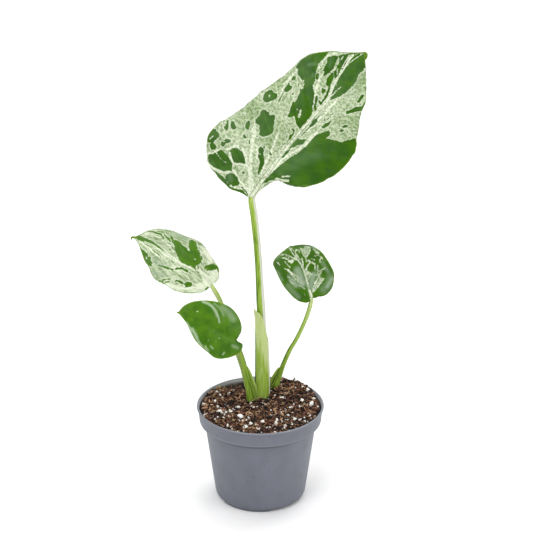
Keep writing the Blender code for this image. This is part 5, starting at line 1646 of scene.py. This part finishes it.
grainShape = {"stretch": ((0.9, 1.5), (0.8, 1.1), (0.65, 1.0)), "listedSize": 1.08, "lift": (1.4, 0.5)}


def mixHeight(x, y):
    height = mix["top"] + mix["dome"] * (1 - (x**2 + y**2) / pot["rim"] ** 2)
    for rise, at, spread in mix["hills"]:
        height = height + rise * np.exp(-((x - at[0]) ** 2 + (y - at[1]) ** 2) / (2 * spread**2))
    return height + layered(np.stack(np.broadcast_arrays(x, y, 0.0), -1), *mix["lumps"])


def mixShade(points):
    # darker and lighter clumps a few millimetres across
    return layered(points, *mix["clumps"])


def makeBed():
    ring = mix["edge"] * np.linspace(0, 1, mix["rings"]) ** mix["ringCrowd"]
    top = turned(np.stack([ring, 0 * ring], -1), mix["steps"])
    top[:, 2] = mixHeight(top[:, 0], top[:, 1])
    # its side and underside stand a little inside the pot's wall
    inner, _ = potProfile()
    gap = mix["inWall"]
    skirt = [(radius - gap, height + gap) for radius, height in inner[mix["skirtFrom"]:0:-1]]
    skirt = np.array([*skirt, (0, inner[0][1] + gap)])
    points = np.concatenate([top, turned(skirt, mix["steps"])])
    faces = gridFaces(mix["rings"] + len(skirt), mix["steps"], closed=True)
    # the bed is dark peat; between the shreds and crumbs its darkness is also painted shade
    shade = mix["bedShade"] + layered(points, mix["bedGrain"]) + mixShade(points)
    values = {"grain": points, "shade": shade}
    return makePiece("potting_mix_bed", points, [faces], [peat], values, None, mix["sharpest"])


def spots(rng, part):
    # random places on the mix, off the stalks, thicker towards the front if asked
    edge, frontward = mix["edge"] - part["inset"], part.get("frontward", 0.0)
    feet = [(crossing(np.array(spec["route"], float), mix["surface"])[:2], max(spec["radii"][:3]))
            for spec in stalks.values()]
    chosen = []
    while len(chosen) < part["count"]:
        radius = edge * math.sqrt(rng.random())
        angle = rng.random() * 2 * math.pi
        x, y = radius * math.cos(angle), radius * math.sin(angle)
        if rng.random() < frontward * (0.5 + 0.5 * y / edge):
            continue
        if all(math.dist((x, y), foot) > reach + mix["stalkClear"] for foot, reach in feet):
            chosen.append((x, y))
    return np.array(chosen)


def drawn(rng, span, count):
    return np.array([rng.uniform(*span) for _ in range(count)])


def rotations(angles, first, second):
    # matrices that turn the first axis towards the second
    matrices = np.tile(np.eye(3), (len(angles), 1, 1))
    matrices[:, first, first] = matrices[:, second, second] = np.cos(angles)
    matrices[:, second, first] = np.sin(angles)
    matrices[:, first, second] = -np.sin(angles)
    return matrices


def turns(rng, count, tilt):
    # turning matrices: any heading, tilted by some radians
    heading = drawn(rng, (0, 2 * math.pi), count)
    pitch, roll = (np.array([rng.gauss(0, tilt) for _ in range(count)]) for _ in range(2))
    return rotations(heading, 0, 1) @ rotations(pitch, 2, 0) @ rotations(roll, 1, 2)


def roundTemplate(level):
    shape = bmesh.new()
    bmesh.ops.create_icosphere(shape, subdivisions=level, radius=1.0)
    points = np.array([vertex.co for vertex in shape.verts], float)
    faces = np.array([[vertex.index for vertex in face.verts] for face in shape.faces])
    shape.free()
    return points, [faces]


def flakeTemplate():
    # a long thin flake with blunt ends, lying along x
    rings, sides = mix["flakeRings"], mix["flakeSides"]
    blunt, end = mix["flakeEnd"]
    share = np.linspace(-1, 1, rings)
    width = np.sqrt(np.clip(1 - np.abs(share) ** 3, blunt, 1))
    points = turned(np.stack([width, share], -1), sides)[:, [2, 0, 1]]
    count = len(points)
    faces = [gridFaces(rings, sides, closed=True), *capFaces(rings, sides, count, count + 1)]
    return np.vstack([points, [(-end, 0, 0), (end, 0, 0)]]), faces


def scatter(rng, name, template, places, sizes, lift, shades, material):
    # copies of a small shape, each roughened, sized and turned on its own, joined in one piece
    part = scattered[name]
    shape, blocks = template
    turning = turns(rng, len(places), part["tilt"])
    numbers = np.arange(len(places))[:, None, None]
    points = shape[None] + 0.0 * numbers
    bumps = softNoise(points + numbers * mix["spacing"], mix["bumpSize"], part["seed"])
    points = points * (1 + part["rough"] * bumps[..., None]) * sizes[:, None, :]
    middle = np.stack([*places.T, mixHeight(*places.T) + lift], -1)
    points = (np.einsum("nij,nkj->nki", turning, points) + middle[:, None]).reshape(-1, 3)
    faces = [(block[None] + numbers * len(shape)).reshape(-1, block.shape[1]) for block in blocks]
    values = {"grain": points, "shade": np.repeat(shades + mixShade(middle), len(shape))}
    finishPiece(makePiece(name, points, faces, [material], values, None, part["sharpest"]), "potting_mix")


mixLook = {
    "dark": (22, 13, 8), "brown": (92, 52, 26), "plum": (74, 44, 36), "red": (150, 94, 54),
    "rose": (150, 100, 78), "tan": (240, 190, 146), "rough": 0.85, "cloudSize": 1.6, "fineShare": 0.5,
    "hue": (0.30, 2.0), "hueRamp": (0.42, 0.58), "levels": (0.0, 0.45, 0.75, 1.0), "bump": 0.25,
    # light and shaded side, size of the clouds and roughness
    "perlite": ((294, 293, 286), (264, 256, 240), 2.0, 0.8),
    "tan_bark": ((186, 160, 104), (132, 118, 70), 2.5, 0.85), "grainRamp": (0.35, 0.85), "grainBump": 0.2,
}


def peatMaterial():
    look = mixLook
    material, tree, shader = newMaterial("peat", look["rough"])
    grain = stored(tree, "grain")[0]
    clouds = useGroup(mottle, Grain=grain, Size=look["cloudSize"])
    value = plus(storedNumber(tree, "shade"), times(minus(clouds["Fine"], 0.5), look["fineShare"]))
    hue = ramp(noise(grain, *look["hue"]), *look["hueRamp"])
    brown, red = blend(hue, look["brown"], look["plum"]), blend(hue, look["red"], look["rose"])
    colour = look["dark"]
    for low, high, tone in zip(look["levels"], look["levels"][1:], (brown, red, look["tan"])):
        colour = blend(ramp(value, low, high), colour, tone)
    dress(shader, colour, clouds["Fine"], look["bump"])
    return material


def grainMaterial(name):
    light, shadow, size, rough = mixLook[name]
    material, tree, shader = newMaterial(name, rough)
    clouds = useGroup(mottle, Grain=stored(tree, "grain")[0], Size=size)
    value = times(clouds["Fine"], plus(storedNumber(tree, "shade"), 0.5))
    colour = blend(ramp(value, *mixLook["grainRamp"]), light, shadow)
    dress(shader, colour, clouds["Fine"], mixLook["grainBump"])
    return material


def flakeSize(rng, part):
    return [rng.uniform(*part[side]) / 2 for side in ("length", "width", "thick")]


def crumbSize(rng, part):
    size = rng.uniform(*part["size"]) / 2
    return [size * rng.uniform(*part["long"]), size, size * rng.uniform(*part["flat"])]


def makeFibres(rng):
    part = scattered["coir_fibres"]
    fibres = []
    share = np.linspace(-0.5, 0.5, part["points"])
    for x, y in spots(rng, part):
        length = rng.uniform(*part["length"])
        way = rng.uniform(0, 2 * math.pi) + rng.gauss(0, part["bend"]) * share
        line = np.stack([x + length * share * np.cos(way), y + length * share * np.sin(way)], -1)
        far = np.maximum(np.linalg.norm(line, axis=1), 1)
        line *= np.minimum(1, (mix["edge"] - part["clear"]) / far)[:, None]
        rise = rng.uniform(*part["rise"]) * np.sin(np.pi * (share + 0.5)) + rng.uniform(*part["lift"])
        # fibres follow the bed at their middle and ends, and bridge the rest
        height = np.interp(share, share[::4], mixHeight(*line[::4].T)) + rise
        radii = np.full(len(share), rng.uniform(*part["radius"]))
        points, faces = tubeRound(np.concatenate([line, height[:, None]], 1), radii, part["sides"])
        fibres.append((points, faces, {"shade": np.full(len(points), rng.uniform(*part["shade"]))}))
    points, faces, values = joined(fibres)
    return makePiece("coir_fibres", points, faces, [peat], {"grain": points, **values})


def makeMix():
    rng = random.Random(mix["seed"])
    finishPiece(makeBed(), "potting_mix", "potting_mix")
    for name, template, sizeOf in (
        ("peat_shreds", flakeTemplate(), flakeSize), ("peat_threads", flakeTemplate(), flakeSize),
        ("bark_crumbs", roundTemplate(2), crumbSize),
    ):
        part = scattered[name]
        places = spots(rng, part)
        sizes = np.array([sizeOf(rng, part) for _ in places])
        shades = drawn(rng, part["shade"], len(places))
        lift = drawn(rng, part["lift"], len(places))
        scatter(rng, name, template, places, sizes, lift, shades, peat)
    finishPiece(makeFibres(rng), "potting_mix")
    for name, look in (("perlite_grains", "perlite"), ("tan_chips", "tan_bark")):
        part = scattered[name]
        listed = np.array(part["listed"])
        places = np.concatenate([spots(rng, part), listed[:, :2]])
        radii = drawn(rng, part["size"], part["count"])
        radii = np.concatenate([radii, grainShape["listedSize"] * listed[:, 2]])
        stretch = np.array([[rng.uniform(*span) for span in grainShape["stretch"]] for _ in places])
        shades = drawn(rng, (0.0, 1.0), len(places))
        sizes = radii[:, None] * stretch
        low, share = grainShape["lift"]
        lift = low + share * radii
        scatter(rng, name, roundTemplate(3), places, sizes, lift, shades, grainMaterial(look))


peat = peatMaterial()
makeMix()


# Floor

def makeFloor():
    material, tree, shader = newMaterial("pale_floor", studio["floorRough"], studio["floorShine"])
    shader.inputs["Base Color"].default_value = tint(studio["floorTint"], 1.0)
    # the lamps don't reach the far floor, so it glows a little and stays white in every view
    place = tree.nodes.new("ShaderNodeNewGeometry").outputs["Position"]
    away = addNode("VectorMath", {0: place}, operation="LENGTH").outputs["Value"]
    glow = ramp(away, studio["glowFrom"] * mm, studio["glowTo"] * mm, 0.0, studio["glow"])
    put(shader.inputs["Emission Color"], glow)
    shader.inputs["Emission Strength"].default_value = 1.0
    shape = bmesh.new()
    radius = studio["floorRadius"] * mm
    bmesh.ops.create_circle(shape, cap_ends=True, segments=studio["floorSides"], radius=radius)
    mesh = bpy.data.meshes.new("floor")
    shape.to_mesh(mesh)
    shape.free()
    mesh.materials.append(material)
    floor = addToScene("floor", mesh)


makeFloor()
